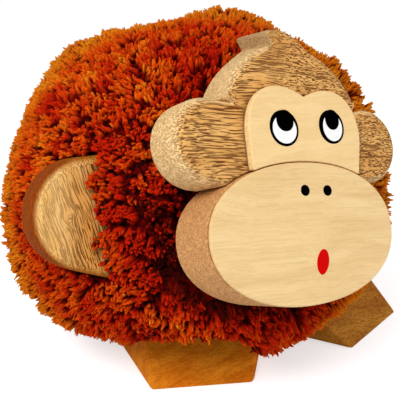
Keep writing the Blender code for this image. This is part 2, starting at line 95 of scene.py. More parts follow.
class Tree:
    """Short calls that add and join nodes in one shader or geometry tree."""

    def __init__(self, tree: bpy.types.NodeTree) -> None:
        """Hold the tree that the calls write to."""
        self.tree = tree

    def add(self, kind: str, inputs: dict[str | int, object] | None = None, **settings: object) -> bpy.types.Node:
        """Add one node.

        Args:
            kind: the node's type in Blender.
            inputs: a value or a socket for each named or numbered input.
            settings: the node's own properties.

        Returns:
            The new node.
        """
        node = self.tree.nodes.new(kind)
        for key, value in settings.items():
            setattr(node, key, value)
        for key, value in (inputs or {}).items():
            self.feed(node.inputs[key], value)
        return node

    def feed(self, socket: bpy.types.NodeSocket, value: object) -> None:
        """Join an output to the socket, or set the socket's own value.

        Args:
            socket: an input.
            value: an output to join to it, or its value.
        """
        if isinstance(value, bpy.types.NodeSocket):
            self.tree.links.new(value, socket)
        else:
            socket.default_value = value

    def math(self, operation: str, first: object, second: object = 0.0, clamp: bool = False) -> bpy.types.NodeSocket:
        """A Math node's result."""
        return self.add("ShaderNodeMath", {0: first, 1: second}, operation=operation, use_clamp=clamp).outputs[0]

    def times(self, first: object, second: object) -> bpy.types.NodeSocket:
        """A product."""
        return self.math("MULTIPLY", first, second)

    def plus(self, first: object, second: object) -> bpy.types.NodeSocket:
        """A sum."""
        return self.math("ADD", first, second)

    def minus(self, first: object, second: object) -> bpy.types.NodeSocket:
        """A difference."""
        return self.math("SUBTRACT", first, second)

    def over(self, first: object, second: object, clamp: bool = False) -> bpy.types.NodeSocket:
        """A quotient."""
        return self.math("DIVIDE", first, second, clamp)

    def vector(self, operation: str, first: object, second: object = (0.0, 0.0, 0.0)) -> bpy.types.NodeSocket:
        """A Vector Math node's vector."""
        return self.add("ShaderNodeVectorMath", {0: first, 1: second}, operation=operation).outputs[0]

    def scaled(self, vector: object, share: object) -> bpy.types.NodeSocket:
        """A vector, or a colour, times one value."""
        return self.add("ShaderNodeVectorMath", {0: vector, "Scale": share}, operation="SCALE").outputs[0]

    def combine(self, x: object, y: object, z: object) -> bpy.types.NodeSocket:
        """A vector made of three values."""
        return self.add("ShaderNodeCombineXYZ", {0: x, 1: y, 2: z}).outputs[0]

    def separate(self, vector: bpy.types.NodeSocket) -> list[bpy.types.NodeSocket]:
        """A vector's three values."""
        return list(self.add("ShaderNodeSeparateXYZ", {0: vector}).outputs)

    def smooth(self, value: object, low: object, high: object) -> bpy.types.NodeSocket:
        """0 below low, 1 above high, and a smooth rise between."""
        return self.add("ShaderNodeMapRange", {"Value": value, "From Min": low, "From Max": high},
                        interpolation_type="SMOOTHSTEP").outputs["Result"]

    def noise(self, vector: object, scale: float, detail: float = 2.0, roughness: float = 0.5,
              colour: bool = False) -> bpy.types.NodeSocket:
        """A noise texture's value, or its colour.

        Args:
            vector: where it is read.
            scale: how fine it is.
            detail: how many finer layers it has.
            roughness: how strong those are.
            colour: whether its colour is wanted.

        Returns:
            The value or the colour.
        """
        node = self.add("ShaderNodeTexNoise", {"Vector": vector, "Scale": scale, "Detail": detail,
                                               "Roughness": roughness})
        return node.outputs["Color" if colour else "Fac"]

    def mix(self, share: object, first: object, second: object) -> bpy.types.NodeSocket:
        """Two colours mixed.

        Args:
            share: the second's share.
            first: one colour.
            second: the other.

        Returns:
            The mixed colour.
        """
        node = self.add("ShaderNodeMix", data_type="RGBA")
        for place, value in ((0, share), (6, first), (7, second)):
            self.feed(node.inputs[place], value)
        return node.outputs[2]

    def blend(self, share: object, first: object, second: object) -> bpy.types.NodeSocket:
        """Two numbers mixed.

        Args:
            share: the second's share.
            first: one number.
            second: the other.

        Returns:
            The mixed number.
        """
        node = self.add("ShaderNodeMix", data_type="FLOAT")
        for place, value in ((0, share), (2, first), (3, second)):
            self.feed(node.inputs[place], value)
        return node.outputs[0]

    def attribute(self, name: str, output: str = "Fac") -> bpy.types.NodeSocket:
        """What the mesh's attribute of that name says."""
        return self.add("ShaderNodeAttribute", attribute_name=name).outputs[output]

    def read(self, name: str, kind: str = "FLOAT") -> bpy.types.NodeSocket:
        """What the points' attribute of that name says, in a geometry tree."""
        return self.add("GeometryNodeInputNamedAttribute", {"Name": name}, data_type=kind).outputs[0]

    def store(self, geometry: object, name: str, value: object, kind: str = "FLOAT",
              domain: str = "POINT") -> bpy.types.NodeSocket:
        """The geometry with an attribute of that name."""
        return self.add("GeometryNodeStoreNamedAttribute", {"Geometry": geometry, "Name": name, "Value": value},
                        data_type=kind, domain=domain).outputs[0]

    def place(self) -> bpy.types.NodeSocket:
        """The place on the object, in metres."""
        return self.add("ShaderNodeTexCoord").outputs["Object"]

    def bump(self, height: object, depth: float, strength: float = 1.0,
             normal: bpy.types.NodeSocket | None = None) -> bpy.types.NodeSocket:
        """A normal bent by a relief.

        Args:
            height: the relief, from 0 to 1.
            depth: how deep it is, in millimetres.
            strength: how much of it shows.
            normal: the normal that it bends, or None for the surface's own.

        Returns:
            The bent normal.
        """
        inputs = {"Height": height, "Distance": depth * MM, "Strength": strength}
        if normal is not None:
            inputs["Normal"] = normal
        return self.add("ShaderNodeBump", inputs).outputs[0]


def linear(red: int, green: int, blue: int) -> Colour:
    """A screen colour, 0 to 255, as the renderer's own linear colour.

    Args:
        red: its red.
        green: its green.
        blue: its blue.

    Returns:
        The colour.
    """
    def channel(value: int) -> float:
        """One channel."""
        share = value / 255
        return share / 12.92 if share <= 0.04045 else ((share + 0.055) / 1.055) ** 2.4
    return channel(red), channel(green), channel(blue)


def opaque(colour: Colour) -> tuple[float, float, float, float]:
    """The colour with full alpha."""
    return (*colour, 1.0)


def new_material(name: str) -> tuple[bpy.types.Material, Tree, bpy.types.Node]:
    """A new material, the calls that write its nodes, and its shader.

    Args:
        name: the material's name.

    Returns:
        The material, the calls and the shader.
    """
    made = bpy.data.materials.new(name)
    made.use_nodes = True
    return made, Tree(made.node_tree), made.node_tree.nodes["Principled BSDF"]


def new_group(name: str, kind: str, inputs: list[tuple[str, str, object]],
              outputs: list[tuple[str, str]]) -> tuple[Tree, bpy.types.Node, bpy.types.Node]:
    """Start a node group.

    Args:
        name: the group's name.
        kind: ShaderNodeTree or GeometryNodeTree.
        inputs: each input's name, its socket type after NodeSocket, and its default or None.
        outputs: each output's name and its socket type after NodeSocket.

    Returns:
        The tree, its input node and its output node.
    """
    tree = bpy.data.node_groups.new(name, kind)
    for title, socket, default in inputs:
        made = tree.interface.new_socket(title, in_out="INPUT", socket_type="NodeSocket" + socket)
        if default is not None:
            made.default_value = default
    for title, socket in outputs:
        tree.interface.new_socket(title, in_out="OUTPUT", socket_type="NodeSocket" + socket)
    made = Tree(tree)
    return made, made.add("NodeGroupInput"), made.add("NodeGroupOutput")


def board_grain() -> bpy.types.NodeTree:
    """The grain of one board, from a place in the board's own millimetres with x along the grain.

    Returns:
        A group that puts out a slow tone, a mask of open pores and lines, and a height.
    """
    if "board_grain" in bpy.data.node_groups:
        return bpy.data.node_groups["board_grain"]
    nodes, given, result = new_group(
        "board_grain", "ShaderNodeTree",
        [("Vector", "Vector", None)] + [(title, "Float", 0.0) for title in GRAIN_SIZES],
        [("Tone", "Float"), ("Pores", "Float"), ("Height", "Float")])
    g = given.outputs

    def drift(scale: float, detail: float) -> bpy.types.NodeSocket:
        """A slow random vector, half of it below zero."""
        return nodes.vector("SUBTRACT", nodes.noise(g["Vector"], scale, detail, 0.5, colour=True), (0.5, 0.5, 0.5))

    x, y, z = nodes.separate(g["Vector"])
    _, side, deep = nodes.separate(nodes.scaled(drift(0.045, 2.0), g["Wander"]))
    # the grain flows round a knot as water flows round a post
    off_x, off_y = nodes.minus(x, g["Knot X"]), nodes.minus(y, g["Knot Y"])
    far = nodes.plus(nodes.times(off_x, off_x), nodes.times(off_y, off_y))
    push = nodes.over(nodes.times(g["Knot Radius"], g["Knot Radius"]), nodes.plus(far, 0.3))
    y = nodes.minus(y, nodes.times(off_y, push))
    # towards one end of the board its pores are cut across, so they are short and swirl
    short = nodes.smooth(x, g["Short From"], g["Short To"])
    swirl_x, swirl_y, _ = nodes.separate(drift(0.13, 1.0))
    swirl = nodes.times(short, g["Swirl"])
    x = nodes.plus(x, nodes.times(swirl_x, swirl))
    y = nodes.plus(y, nodes.plus(side, nodes.times(swirl_y, swirl)))
    z = nodes.plus(z, deep)

    def stretched(length: object, width: object, detail: float, roughness: float) -> bpy.types.NodeSocket:
        """A noise drawn out along the grain."""
        place = nodes.combine(nodes.over(x, length), nodes.over(y, width), nodes.over(z, width))
        return nodes.noise(place, 1.0, detail, roughness)

    def streaks(length: object, width: object, level: object, soft: float, detail: float) -> bpy.types.NodeSocket:
        """A mask of dark streaks of that length and width."""
        return nodes.smooth(stretched(length, width, detail, 0.55), nodes.minus(level, soft), nodes.plus(level, soft))

    long_pores = streaks(g["Pore Length"], g["Pore Width"], g["Pore Level"], 0.05, 1.0)
    short_pores = streaks(g["Short Length"], g["Pore Width"], g["Pore Level"], 0.05, 1.0)
    lines = streaks(g["Line Length"], g["Line Width"], g["Line Level"], 0.06, 2.0)
    marks = nodes.math("MAXIMUM", nodes.blend(short, long_pores, short_pores), nodes.times(lines, 0.85))
    fibre = stretched(4.0, 0.35, 2.0, 0.6)
    slow = stretched(45.0, 6.0, 2.0, 0.5)
    nodes.feed(result.inputs["Tone"], nodes.blend(0.3, slow, fibre))
    nodes.feed(result.inputs["Pores"], marks)
    nodes.feed(result.inputs["Height"], nodes.minus(nodes.times(fibre, 0.25), marks))
    return nodes.tree


@dataclass(frozen=True)
class WoodFinish:
    """One kind of board: its colours, and its grain in millimetres."""

    name: str
    light: Colour
    dark: Colour
    mark: Colour
    # wall_tone: the sawn edge's colour, which also holds painted light and painted shade
    wall_tone: Colour
    mark_strength: float = 0.8
    pore_length: float = 6.0
    pore_width: float = 0.8
    pore_level: float = 0.56
    line_length: float = 30.0
    line_width: float = 1.2
    line_level: float = 0.6
    wander: float = 2.0
    short_from: float = 200.0
    short_to: float = 210.0
    short_length: float = 1.4
    swirl: float = 0.0
    knot: Point3 = (0.0, 0.0, 0.0)
    roughness: float = 0.5
    gloss: float = 0.25
    relief: float = 0.25
    flow: Flow = Flow.ACROSS
    slant: float = 0.0
    wall_marks: float = 0.45
    wall_from: float = 0.3
    wall_width: float = 0.5
    wall_cover: float = 0.85
    wall_shades: Point2 = (0.86, 1.14)
    fade: Point3 = (-200.0, -199.0, 1.0)
    # warm and painted_shade_warmth lay painted shade and a painted yarn-coloured reflection along the board's x
    warm: Colour = (0.0, 0.0, 0.0)
    painted_shade_warmth: float = 0.0
    seam_shadow: float = 0.0
    seam_tone: Colour = linear(92, 50, 18)
    seam_cover: float = 0.85
    painted_shade_strength: float = 0.0
    pore_roughness: float = 0.85

    def grain(self, nodes: Tree, board: bpy.types.NodeSocket) -> bpy.types.Node:
        """Place the grain group with this board's own sizes.

        Args:
            nodes: the material's tree.
            board: the place on the board.

        Returns:
            The group's node.
        """
        knot_x, knot_y, knot_radius = self.knot
        return nodes.add("ShaderNodeGroup", {
            "Vector": board, "Pore Length": self.pore_length, "Pore Width": self.pore_width,
            "Pore Level": self.pore_level, "Line Length": self.line_length, "Line Width": self.line_width,
            "Line Level": self.line_level, "Wander": self.wander, "Short From": self.short_from,
            "Short To": self.short_to, "Short Length": self.short_length, "Swirl": self.swirl, "Knot X": knot_x,
            "Knot Y": knot_y, "Knot Radius": knot_radius}, node_tree=board_grain())

    def edged(self, nodes: Tree, board: bpy.types.NodeSocket, wood: bpy.types.NodeSocket,
              wall: bpy.types.NodeSocket) -> bpy.types.NodeSocket:
        """Lay the sawn edge's colour over the face's.

        Args:
            nodes: the material's tree.
            board: the place on the board.
            wood: the colour of its face.
            wall: 0 on its face and 1 on its sawn edge.

        Returns:
            The colour of both.
        """
        # the sawn edge's colour holds painted light and shade: paler on the head, dark brown on the arms
        sawn = nodes.smooth(wall, self.wall_from, min(self.wall_from + self.wall_width, 1.0))
        speck = nodes.smooth(nodes.noise(board, 0.8, 3.0, 0.7), *NOISE_RANGE)
        dull, bright = (opaque(tuple(min(part * share, 1.0) for part in self.wall_tone)) for share in self.wall_shades)
        wood = nodes.mix(nodes.times(sawn, self.wall_cover), wood, nodes.mix(speck, dull, bright))
        # painted shade: the crest's sawn edge is darkened towards the mark colour
        if self.painted_shade_strength:
            shaded = nodes.times(nodes.times(nodes.attribute("shaded"), sawn), self.painted_shade_strength)
            wood = nodes.mix(shaded, wood, opaque(self.mark))
        return wood

    def material(self, place: Matrix) -> bpy.types.Material:
        """Make the board's material.

        Args:
            place: the board's own frame, which its grain follows.

        Returns:
            The material.
        """
        made, nodes, shader = new_material(self.name)
        turned = math.radians(self.flow.value + self.slant)
        along_grain = place @ Matrix.Rotation(turned, 4, "Z")
        board = nodes.add("ShaderNodeMapping", {"Vector": nodes.place(), "Location": along_grain.to_translation(),
                                                "Rotation": along_grain.to_euler(), "Scale": (MM, MM, MM)},
                          vector_type="TEXTURE").outputs[0]
        grain = self.grain(nodes, board)
        wood = nodes.mix(nodes.smooth(grain.outputs["Tone"], *NOISE_RANGE), opaque(self.dark), opaque(self.light))
        wall = nodes.attribute("wall")
        wood = self.edged(nodes, board, wood, wall)
        # the marks fade along the board's own x, and the same mask warms the wood: painted shade and a painted
        # yarn-coloured reflection where the arms meet the yarn
        along, over, _ = nodes.separate(board)
        across = nodes.minus(nodes.times(along, math.cos(turned)), nodes.times(over, math.sin(turned)))
        low, high, least = self.fade
        further = nodes.smooth(across, low, high)
        wood = nodes.mix(nodes.times(further, self.painted_shade_warmth), wood, opaque(self.warm))
        marked = nodes.times(grain.outputs["Pores"], self.mark_strength)
        marked = nodes.times(marked, nodes.blend(nodes.smooth(wall, 0.3, 0.9), 1.0, self.wall_marks))
        marked = nodes.times(marked, nodes.blend(further, least, 1.0))
        wood = nodes.mix(marked, wood, opaque(self.mark))
        if self.seam_shadow:
            # painted shadow in the line where the board's back meets the next one
            line = nodes.smooth(nodes.attribute("back"), 1 - self.seam_shadow, 1.0)
            wood = nodes.mix(nodes.times(line, self.seam_cover), wood, opaque(self.seam_tone))
        nodes.feed(shader.inputs["Base Color"], wood)
        nodes.feed(shader.inputs["Roughness"],
                   nodes.blend(grain.outputs["Pores"], self.roughness, self.pore_roughness))
        shader.inputs["Specular IOR Level"].default_value = self.gloss
        nodes.feed(shader.inputs["Normal"], nodes.bump(grain.outputs["Height"], self.relief))
        return made


@dataclass(frozen=True)
class PaintFinish:
    """Brushed enamel, with a faint ripple."""

    name: str
    colour: Colour
    roughness: float = 0.5
    uneven: float = 0.08
    gloss: float = 0.1
    ripple: float = 700.0
    relief: float = 0.04

    def material(self) -> bpy.types.Material:
        """Make the paint's material.

        Returns:
            The material.
        """
        made, nodes, shader = new_material(self.name)
        ripple = nodes.noise(nodes.place(), self.ripple, 2.0)
        nodes.feed(shader.inputs["Base Color"], nodes.scaled(self.colour, nodes.blend(ripple, 0.85, 1.1)))
        nodes.feed(shader.inputs["Roughness"],
                   nodes.blend(ripple, self.roughness - self.uneven, self.roughness + self.uneven))
        shader.inputs["Specular IOR Level"].default_value = self.gloss
        nodes.feed(shader.inputs["Normal"], nodes.bump(ripple, self.relief, 0.6))
        return made


@dataclass(frozen=True)
class YarnFinish:
    """Cut yarn: orange at the strands' ends, and deep red towards their roots and among them, which is painted shade.

    A painted rim light turns the ends gold at the rim of the pile, which is judged from a point at the height "middle".
    The fields from "through" on say how light passes through the yarn.
    """

    name: str = "yarn"
    # deep, root and gap are painted shade; painted_rim_gold is painted rim light
    deep: Colour = linear(46, 2, 0)
    root: Colour = linear(105, 2, 0)
    red: Colour = linear(194, 28, 2)
    orange: Colour = linear(230, 86, 5)
    pale: Colour = linear(240, 140, 24)
    painted_rim_gold: Colour = linear(204, 128, 16)
    gap: Colour = linear(20, 0, 0)
    middle: float = 64.0
    soften: float = 0.8
    relief: float = 0.3
    hair_scale: float = 3.2
    hair_rise: float = 1.6
    rim_cover: float = 0.6
    rim_warmth: float = 0.35
    through: float = 0.4
    through_depth: float = 1.5
    through_spread: Point3 = (1.0, 0.35, 0.1)
    roughness: float = 0.9
    gloss: float = 0.05

    def fuzz(self, nodes: Tree, rise: bpy.types.NodeSocket, tone: bpy.types.NodeSocket) -> bpy.types.NodeSocket:
        """Hairs along each strand, and finer fuzz over them, from 0 to 1.

        Args:
            nodes: the material's tree.
            rise: 0 at a strand's root and 1 at its end.
            tone: how pale the strand is.

        Returns:
            The fuzz.
        """
        round_x, round_y, _ = nodes.separate(nodes.attribute("round", "Vector"))
        beside = nodes.plus(nodes.times(round_y, self.hair_scale), nodes.times(tone, 41.0))
        hair = nodes.noise(nodes.combine(nodes.times(round_x, self.hair_scale), beside,
                                         nodes.times(rise, self.hair_rise)), 1.0, 2.0, 0.6)
        return nodes.blend(0.4, hair, nodes.noise(nodes.place(), 1500.0, 2.0, 0.7))

    def colour(self, nodes: Tree, rise: bpy.types.NodeSocket, tone: bpy.types.NodeSocket,
               rim: bpy.types.NodeSocket) -> bpy.types.NodeSocket:
        """The colour along a strand.

        Args:
            nodes: the material's tree.
            rise: 0 at the strand's root and 1 at its end.
            tone: how pale the strand is, lowered where painted shade falls, with less than 0 for the deepest.
            rim: 1 on ends at the pile's rim, where painted rim light falls.

        Returns:
            The colour, without its light and dark hairs.
        """
        patch = nodes.smooth(nodes.noise(nodes.place(), 30.0, 2.0), 0.35, 0.65)
        warm = nodes.plus(nodes.times(tone, 0.75), nodes.times(patch, 0.25))
        # painted rim light warms the ends at the pile's rim
        warm = nodes.plus(warm, nodes.times(rim, self.rim_warmth))
        ends = nodes.mix(nodes.smooth(warm, 0.25, 0.85), opaque(self.red), opaque(self.orange))
        ends = nodes.mix(nodes.smooth(warm, 0.75, 1.1), ends, opaque(self.pale))
        # painted shade: a tone below 0 turns the ends deep, and strands turn dark red towards their roots
        ends = nodes.mix(nodes.smooth(tone, 0.05, -0.9), ends, opaque(self.deep))
        colour = nodes.mix(nodes.smooth(rise, 0.35, 0.9), opaque(self.root), ends)
        colour = nodes.mix(nodes.smooth(tone, 0.0, -1.0), colour, opaque(self.deep))
        # painted shadow: only the ground is as low as this, and it is coloured near black mottled with dark red, as the
        # shade between deep strands
        gap_shadows = nodes.mix(nodes.smooth(nodes.noise(nodes.place(), 450.0, 2.0, 0.6), 0.42, 0.62), opaque(self.gap),
                           opaque(self.root))
        colour = nodes.mix(nodes.smooth(tone, -1.6, -2.0), colour, gap_shadows)
        return nodes.mix(nodes.times(rim, self.rim_cover), colour, opaque(self.painted_rim_gold))

    def material(self) -> bpy.types.Material:
        """Make the yarn's material, which reads rise and tone from the strands.

        Returns:
            The material.
        """
        made, nodes, shader = new_material(self.name)
        rise, tone = nodes.attribute("rise"), nodes.attribute("tone")
        fuzz = self.fuzz(nodes, rise, tone)
        # painted rim light: ends at the rim of the pile, where its outward direction turns across the view, are made
        # gold and brighter
        outward = nodes.vector("NORMALIZE", nodes.vector("SUBTRACT", nodes.place(), (0.0, 0.0, self.middle * MM)))
        facing = nodes.add("ShaderNodeLayerWeight", {"Blend": 0.5, "Normal": outward}).outputs["Facing"]
        rim = nodes.times(nodes.smooth(facing, 0.6, 0.97), nodes.smooth(rise, 0.3, 0.9))
        shade = nodes.blend(nodes.smooth(fuzz, 0.32, 0.68), 0.8, 1.15)
        # painted rim light: the ends at the pile's rim are a little brighter
        shade = nodes.times(shade, nodes.blend(rim, 0.94, 1.05))
        nodes.feed(shader.inputs["Base Color"], nodes.scaled(self.colour(nodes, rise, tone, rim), shade))
        for title, value in (("Roughness", self.roughness), ("Specular IOR Level", self.gloss),
                             ("Subsurface Weight", self.through), ("Subsurface Radius", self.through_spread),
                             ("Subsurface Scale", self.through_depth * MM), ("Sheen Weight", 0.3),
                             ("Sheen Roughness", 0.4), ("Sheen Tint", opaque(self.orange))):
            shader.inputs[title].default_value = value
        # soft yarn takes light more evenly than a hard strand would
        strand = nodes.add("ShaderNodeNewGeometry").outputs["Normal"]
        soft = nodes.vector("NORMALIZE", nodes.vector("ADD", strand, nodes.scaled(outward, self.soften)))
        nodes.feed(shader.inputs["Normal"], nodes.bump(fuzz, self.relief, 0.6, soft))
        return made


# the pale plates are painted darker along their back edge: painted shadow in the seam
PALE_FACE = WoodFinish("pale_face", linear(246, 211, 150), linear(240, 202, 140), linear(214, 178, 122),
                       wall_tone=linear(238, 198, 138), mark_strength=0.2, pore_length=14.0, pore_width=0.35,
                       pore_level=0.62, line_length=60.0, line_width=0.9, line_level=0.6, wander=3.0,
                       roughness=0.5, relief=0.02, slant=6.0, seam_shadow=0.3)
PALE_MUZZLE = WoodFinish("pale_muzzle", linear(243, 209, 150), linear(233, 196, 136), linear(206, 168, 112),
                         wall_tone=linear(226, 182, 120), mark_strength=0.25, pore_length=12.0, pore_width=0.35,
                         pore_level=0.62, line_length=70.0, line_width=0.9, line_level=0.58, wander=4.0,
                         roughness=0.5, relief=0.02, slant=-1.0, seam_shadow=0.5)
# the head's sawn edge is painted paler than its face, a painted light; its crest's edge gets painted shade
HEAD_WOOD = WoodFinish("head_wood", linear(240, 184, 108), linear(222, 160, 86), linear(112, 56, 16),
                       wall_tone=linear(255, 208, 148), mark_strength=0.95, pore_length=8.0, pore_width=0.38,
                       pore_level=0.575, line_length=22.0, line_width=0.6, line_level=0.6, wander=3.0,
                       short_from=-16.0, short_to=0.0, short_length=1.8, swirl=2.0, roughness=0.6, relief=0.35,
                       gloss=0.1, wall_marks=0.32, painted_shade_strength=0.4)
MUZZLE_WOOD = WoodFinish("muzzle_wood", linear(222, 168, 106), linear(204, 148, 88), linear(164, 104, 58),
                         wall_tone=linear(214, 158, 100), mark_strength=0.6, pore_length=2.5, pore_width=0.5,
                         pore_level=0.55, line_length=30.0, line_width=0.8, line_level=0.58, roughness=0.5,
                         relief=0.15, gloss=0.15, wall_marks=0.9)
# the arm's sawn edge is painted dark brown as painted shade in the yarn, and its face turns darker and warmer towards
# the yarn: painted shade and a painted yarn-coloured reflection
ARM_WOOD = WoodFinish("arm_wood", linear(250, 204, 132), linear(236, 178, 98), linear(100, 46, 6),
                      wall_tone=linear(150, 66, 4), mark_strength=1.0, pore_length=8.0, pore_width=0.36,
                      pore_level=0.58, line_length=30.0, line_width=0.6, line_level=0.6, wander=3.5,
                      roughness=0.6, relief=0.3, flow=Flow.UPRIGHT, slant=24.0, knot=(2.2, 7.4, 1.5), gloss=0.03,
                      wall_from=0.45, wall_cover=1.0, fade=(-14.0, 2.0, 0.25),
                      warm=linear(222, 140, 44), painted_shade_warmth=0.6)
FOOT_WOOD = WoodFinish("foot_wood", linear(240, 146, 28), linear(214, 112, 8), linear(132, 56, 4),
                       wall_tone=linear(214, 118, 30), mark_strength=0.3, pore_length=8.0, pore_width=0.5,
                       pore_level=0.6, line_length=40.0, line_width=1.1, line_level=0.58, wander=2.5,
                       roughness=0.55, relief=0.08, gloss=0.08)
# painted shade: a darker, greyer copy of the foot wood for the foot that lies in shade
SHADED_FOOT_WOOD = WoodFinish("greyer_foot_wood", linear(206, 138, 46), linear(180, 108, 28), linear(104, 54, 14),
                              wall_tone=linear(186, 116, 44), mark_strength=0.45, pore_length=2.4, pore_width=0.6,
                              pore_level=0.58, line_length=30.0, line_width=1.1, line_level=0.6, wander=3.0,
                              roughness=0.6, relief=0.1, gloss=0.08)
DOWEL_WOOD = WoodFinish("dowel_wood", linear(226, 190, 136), linear(208, 168, 114), linear(170, 124, 76),
                        wall_tone=linear(220, 182, 128), mark_strength=0.5, pore_length=6.0, pore_width=0.4,
                        relief=0.06)
CORE_WOOD = WoodFinish("core_wood", linear(206, 164, 112), linear(186, 142, 92), linear(150, 104, 60),
                       wall_tone=linear(200, 156, 104), mark_strength=0.5, relief=0.1)
BLACK_PAINT = PaintFinish("black_paint", (0.0004, 0.0004, 0.0004), gloss=0.0)
WHITE_PAINT = PaintFinish("white_paint", (0.98, 0.98, 0.98), gloss=0.02)
RED_PAINT = PaintFinish("red_paint", linear(214, 2, 2), gloss=0.02)


def oval(centre: Point2, half_width: float, half_height: float, fullness: float = 2.0, grow: float = 0.0,
         steps: int = 96, start: float = 0.0, end: float = 360.0) -> Outline:
    """Points on a superellipse, anticlockwise.

    Args:
        centre: its middle.
        half_width: half its width.
        half_height: half its height.
        fullness: 2 is an ellipse, more is fuller.
        grow: added to both half sizes.
        steps: how many steps it takes.
        start: the angle of its first point, in degrees.
        end: the angle of its last point, which a full turn leaves out.

    Returns:
        Its points.
    """
    points = []
    full = end - start >= 360.0
    for i in range(steps if full else steps + 1):
        angle = math.radians(start + (end - start) * i / steps)
        c, s = math.cos(angle), math.sin(angle)
        x = math.copysign(abs(c) ** (2 / fullness), c) * (half_width + grow)
        y = math.copysign(abs(s) ** (2 / fullness), s) * (half_height + grow)
        points.append((centre[0] + x, centre[1] + y))
    return points


def shift(place: Point3) -> Matrix:
    """A move to a place in millimetres."""
    return Matrix.Translation(Vector(place) * MM)


def turn_by(degrees: float, axis: str) -> Matrix:
    """A turn about one axis."""
    return Matrix.Rotation(math.radians(degrees), 4, axis)


def look_along(way: Vector) -> Matrix:
    """The turn of a camera or a lamp that faces that way."""
    return way.to_track_quat("-Z", "Y").to_matrix().to_4x4()


def settle(item: bpy.types.Object) -> bpy.types.Object:
    """Apply the item's modifiers and put its place into its mesh, so that it sits at the origin.

    Args:
        item: the piece.

    Returns:
        The same piece.
    """
    graph = bpy.context.evaluated_depsgraph_get()
    mesh = bpy.data.meshes.new_from_object(item.evaluated_get(graph), preserve_all_data_layers=True, depsgraph=graph)
    item.modifiers.clear()
    item.data = mesh
    mesh.transform(item.matrix_world)
    item.matrix_world = Matrix.Identity(4)
    return item


def new_object(name: str, data: bpy.types.ID, place: Matrix | None = None) -> bpy.types.Object:
    """A new object in the scene, at that place, from a mesh, a lamp or a camera.

    Args:
        name: its name, and its data's.
        data: what it shows.
        place: where it is.

    Returns:
        The object.
    """
    data.name = name
    item = bpy.data.objects.new(name, data)
    bpy.context.scene.collection.objects.link(item)
    if place is not None:
        item.matrix_world = place
    bpy.context.view_layer.update()
    return item


def unit(vectors: np.ndarray) -> np.ndarray:
    """Each vector at a length of 1."""
    return vectors / np.linalg.norm(vectors, axis=1)[:, None]


def square_to(vectors: np.ndarray, axes: np.ndarray) -> np.ndarray:
    """Each vector without its part along its axis."""
    return vectors - axes * np.einsum("ij,ij->i", vectors, axes)[:, None]


def write_floats(mesh: bpy.types.Mesh, title: str, values: object) -> None:
    """Give the mesh's points a number each, as an attribute of that title."""
    mesh.attributes.new(title, "FLOAT", "POINT").data.foreach_set("value", np.array(values, dtype=np.float32))


def dress(item: bpy.types.Object, material: bpy.types.Material, body: str, slot: str, *nodes: str) -> None:
    """Give a finished piece its material and its body, and hide the nodes that it stands for.

    Args:
        item: the piece.
        material: its material.
        body: the body that it rides on.
        slot: not used.
        nodes: the CAD nodes that it stands for.
    """
    item.data.materials.clear()
    item.data.materials.append(material)
    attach(item, body)
    if nodes:
        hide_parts(*nodes)
    LOG.info("%s rides on %s, %d triangles", item.name, body, len(item.data.loops) - 2 * len(item.data.polygons))


def eased(values: np.ndarray, times: int) -> np.ndarray:
    """Values round a closed outline, each blended with its neighbours that many times.

    Args:
        values: one row, or one number, for each point.
        times: how often they're blended.

    Returns:
        The eased values.
    """
    for _ in range(times):
        values = 0.25 * np.roll(values, 1, axis=0) + 0.5 * values + 0.25 * np.roll(values, -1, axis=0)
    return values


def evened(points: np.ndarray, rounding: np.ndarray, painted_shades: np.ndarray,
           spacing: float) -> tuple[np.ndarray, np.ndarray, np.ndarray]:
    """A closed outline cut into even steps, its corners and its changes of rounding eased.

    Args:
        points: the outline.
        rounding: the edge's radius at each point.
        painted_shades: how much painted shade darkens the sawn edge at each point.
        spacing: the length of a step.

    Returns:
        The new points, their radii and their painted shades.
    """
    closed = np.vstack([points, points[:1]])
    radii = np.append(rounding, rounding[0])
    painted_shades = np.append(painted_shades, painted_shades[0])
    walked = np.concatenate([[0.0], np.cumsum(np.linalg.norm(np.diff(closed, axis=0), axis=1))])
    count = max(int(round(walked[-1] / spacing)), 24)
    at = np.linspace(0.0, walked[-1], count, endpoint=False)
    made = np.stack([np.interp(at, walked, closed[:, axis]) for axis in (0, 1)], axis=1)
    radii = np.interp(at, walked, radii)
    painted_shades = np.interp(at, walked, painted_shades)
    return eased(made, 2), eased(radii, 8), painted_shades


def closed_faces(count: int, rings: int) -> list[list[int]]:
    """The faces of a stack of rings, each of count points, with both ends closed.

    Args:
        count: how many points a ring has.
        rings: how many rings there are.

    Returns:
        The points of each face, outwards where the rings go anticlockwise and upwards.
    """
    faces = [list(reversed(range(count)))]
    for low in range(0, (rings - 1) * count, count):
        for i in range(count):
            j = (i + 1) % count
            faces.append([low + i, low + j, low + count + j, low + count + i])
    faces.append(list(range((rings - 1) * count, rings * count)))
    return faces


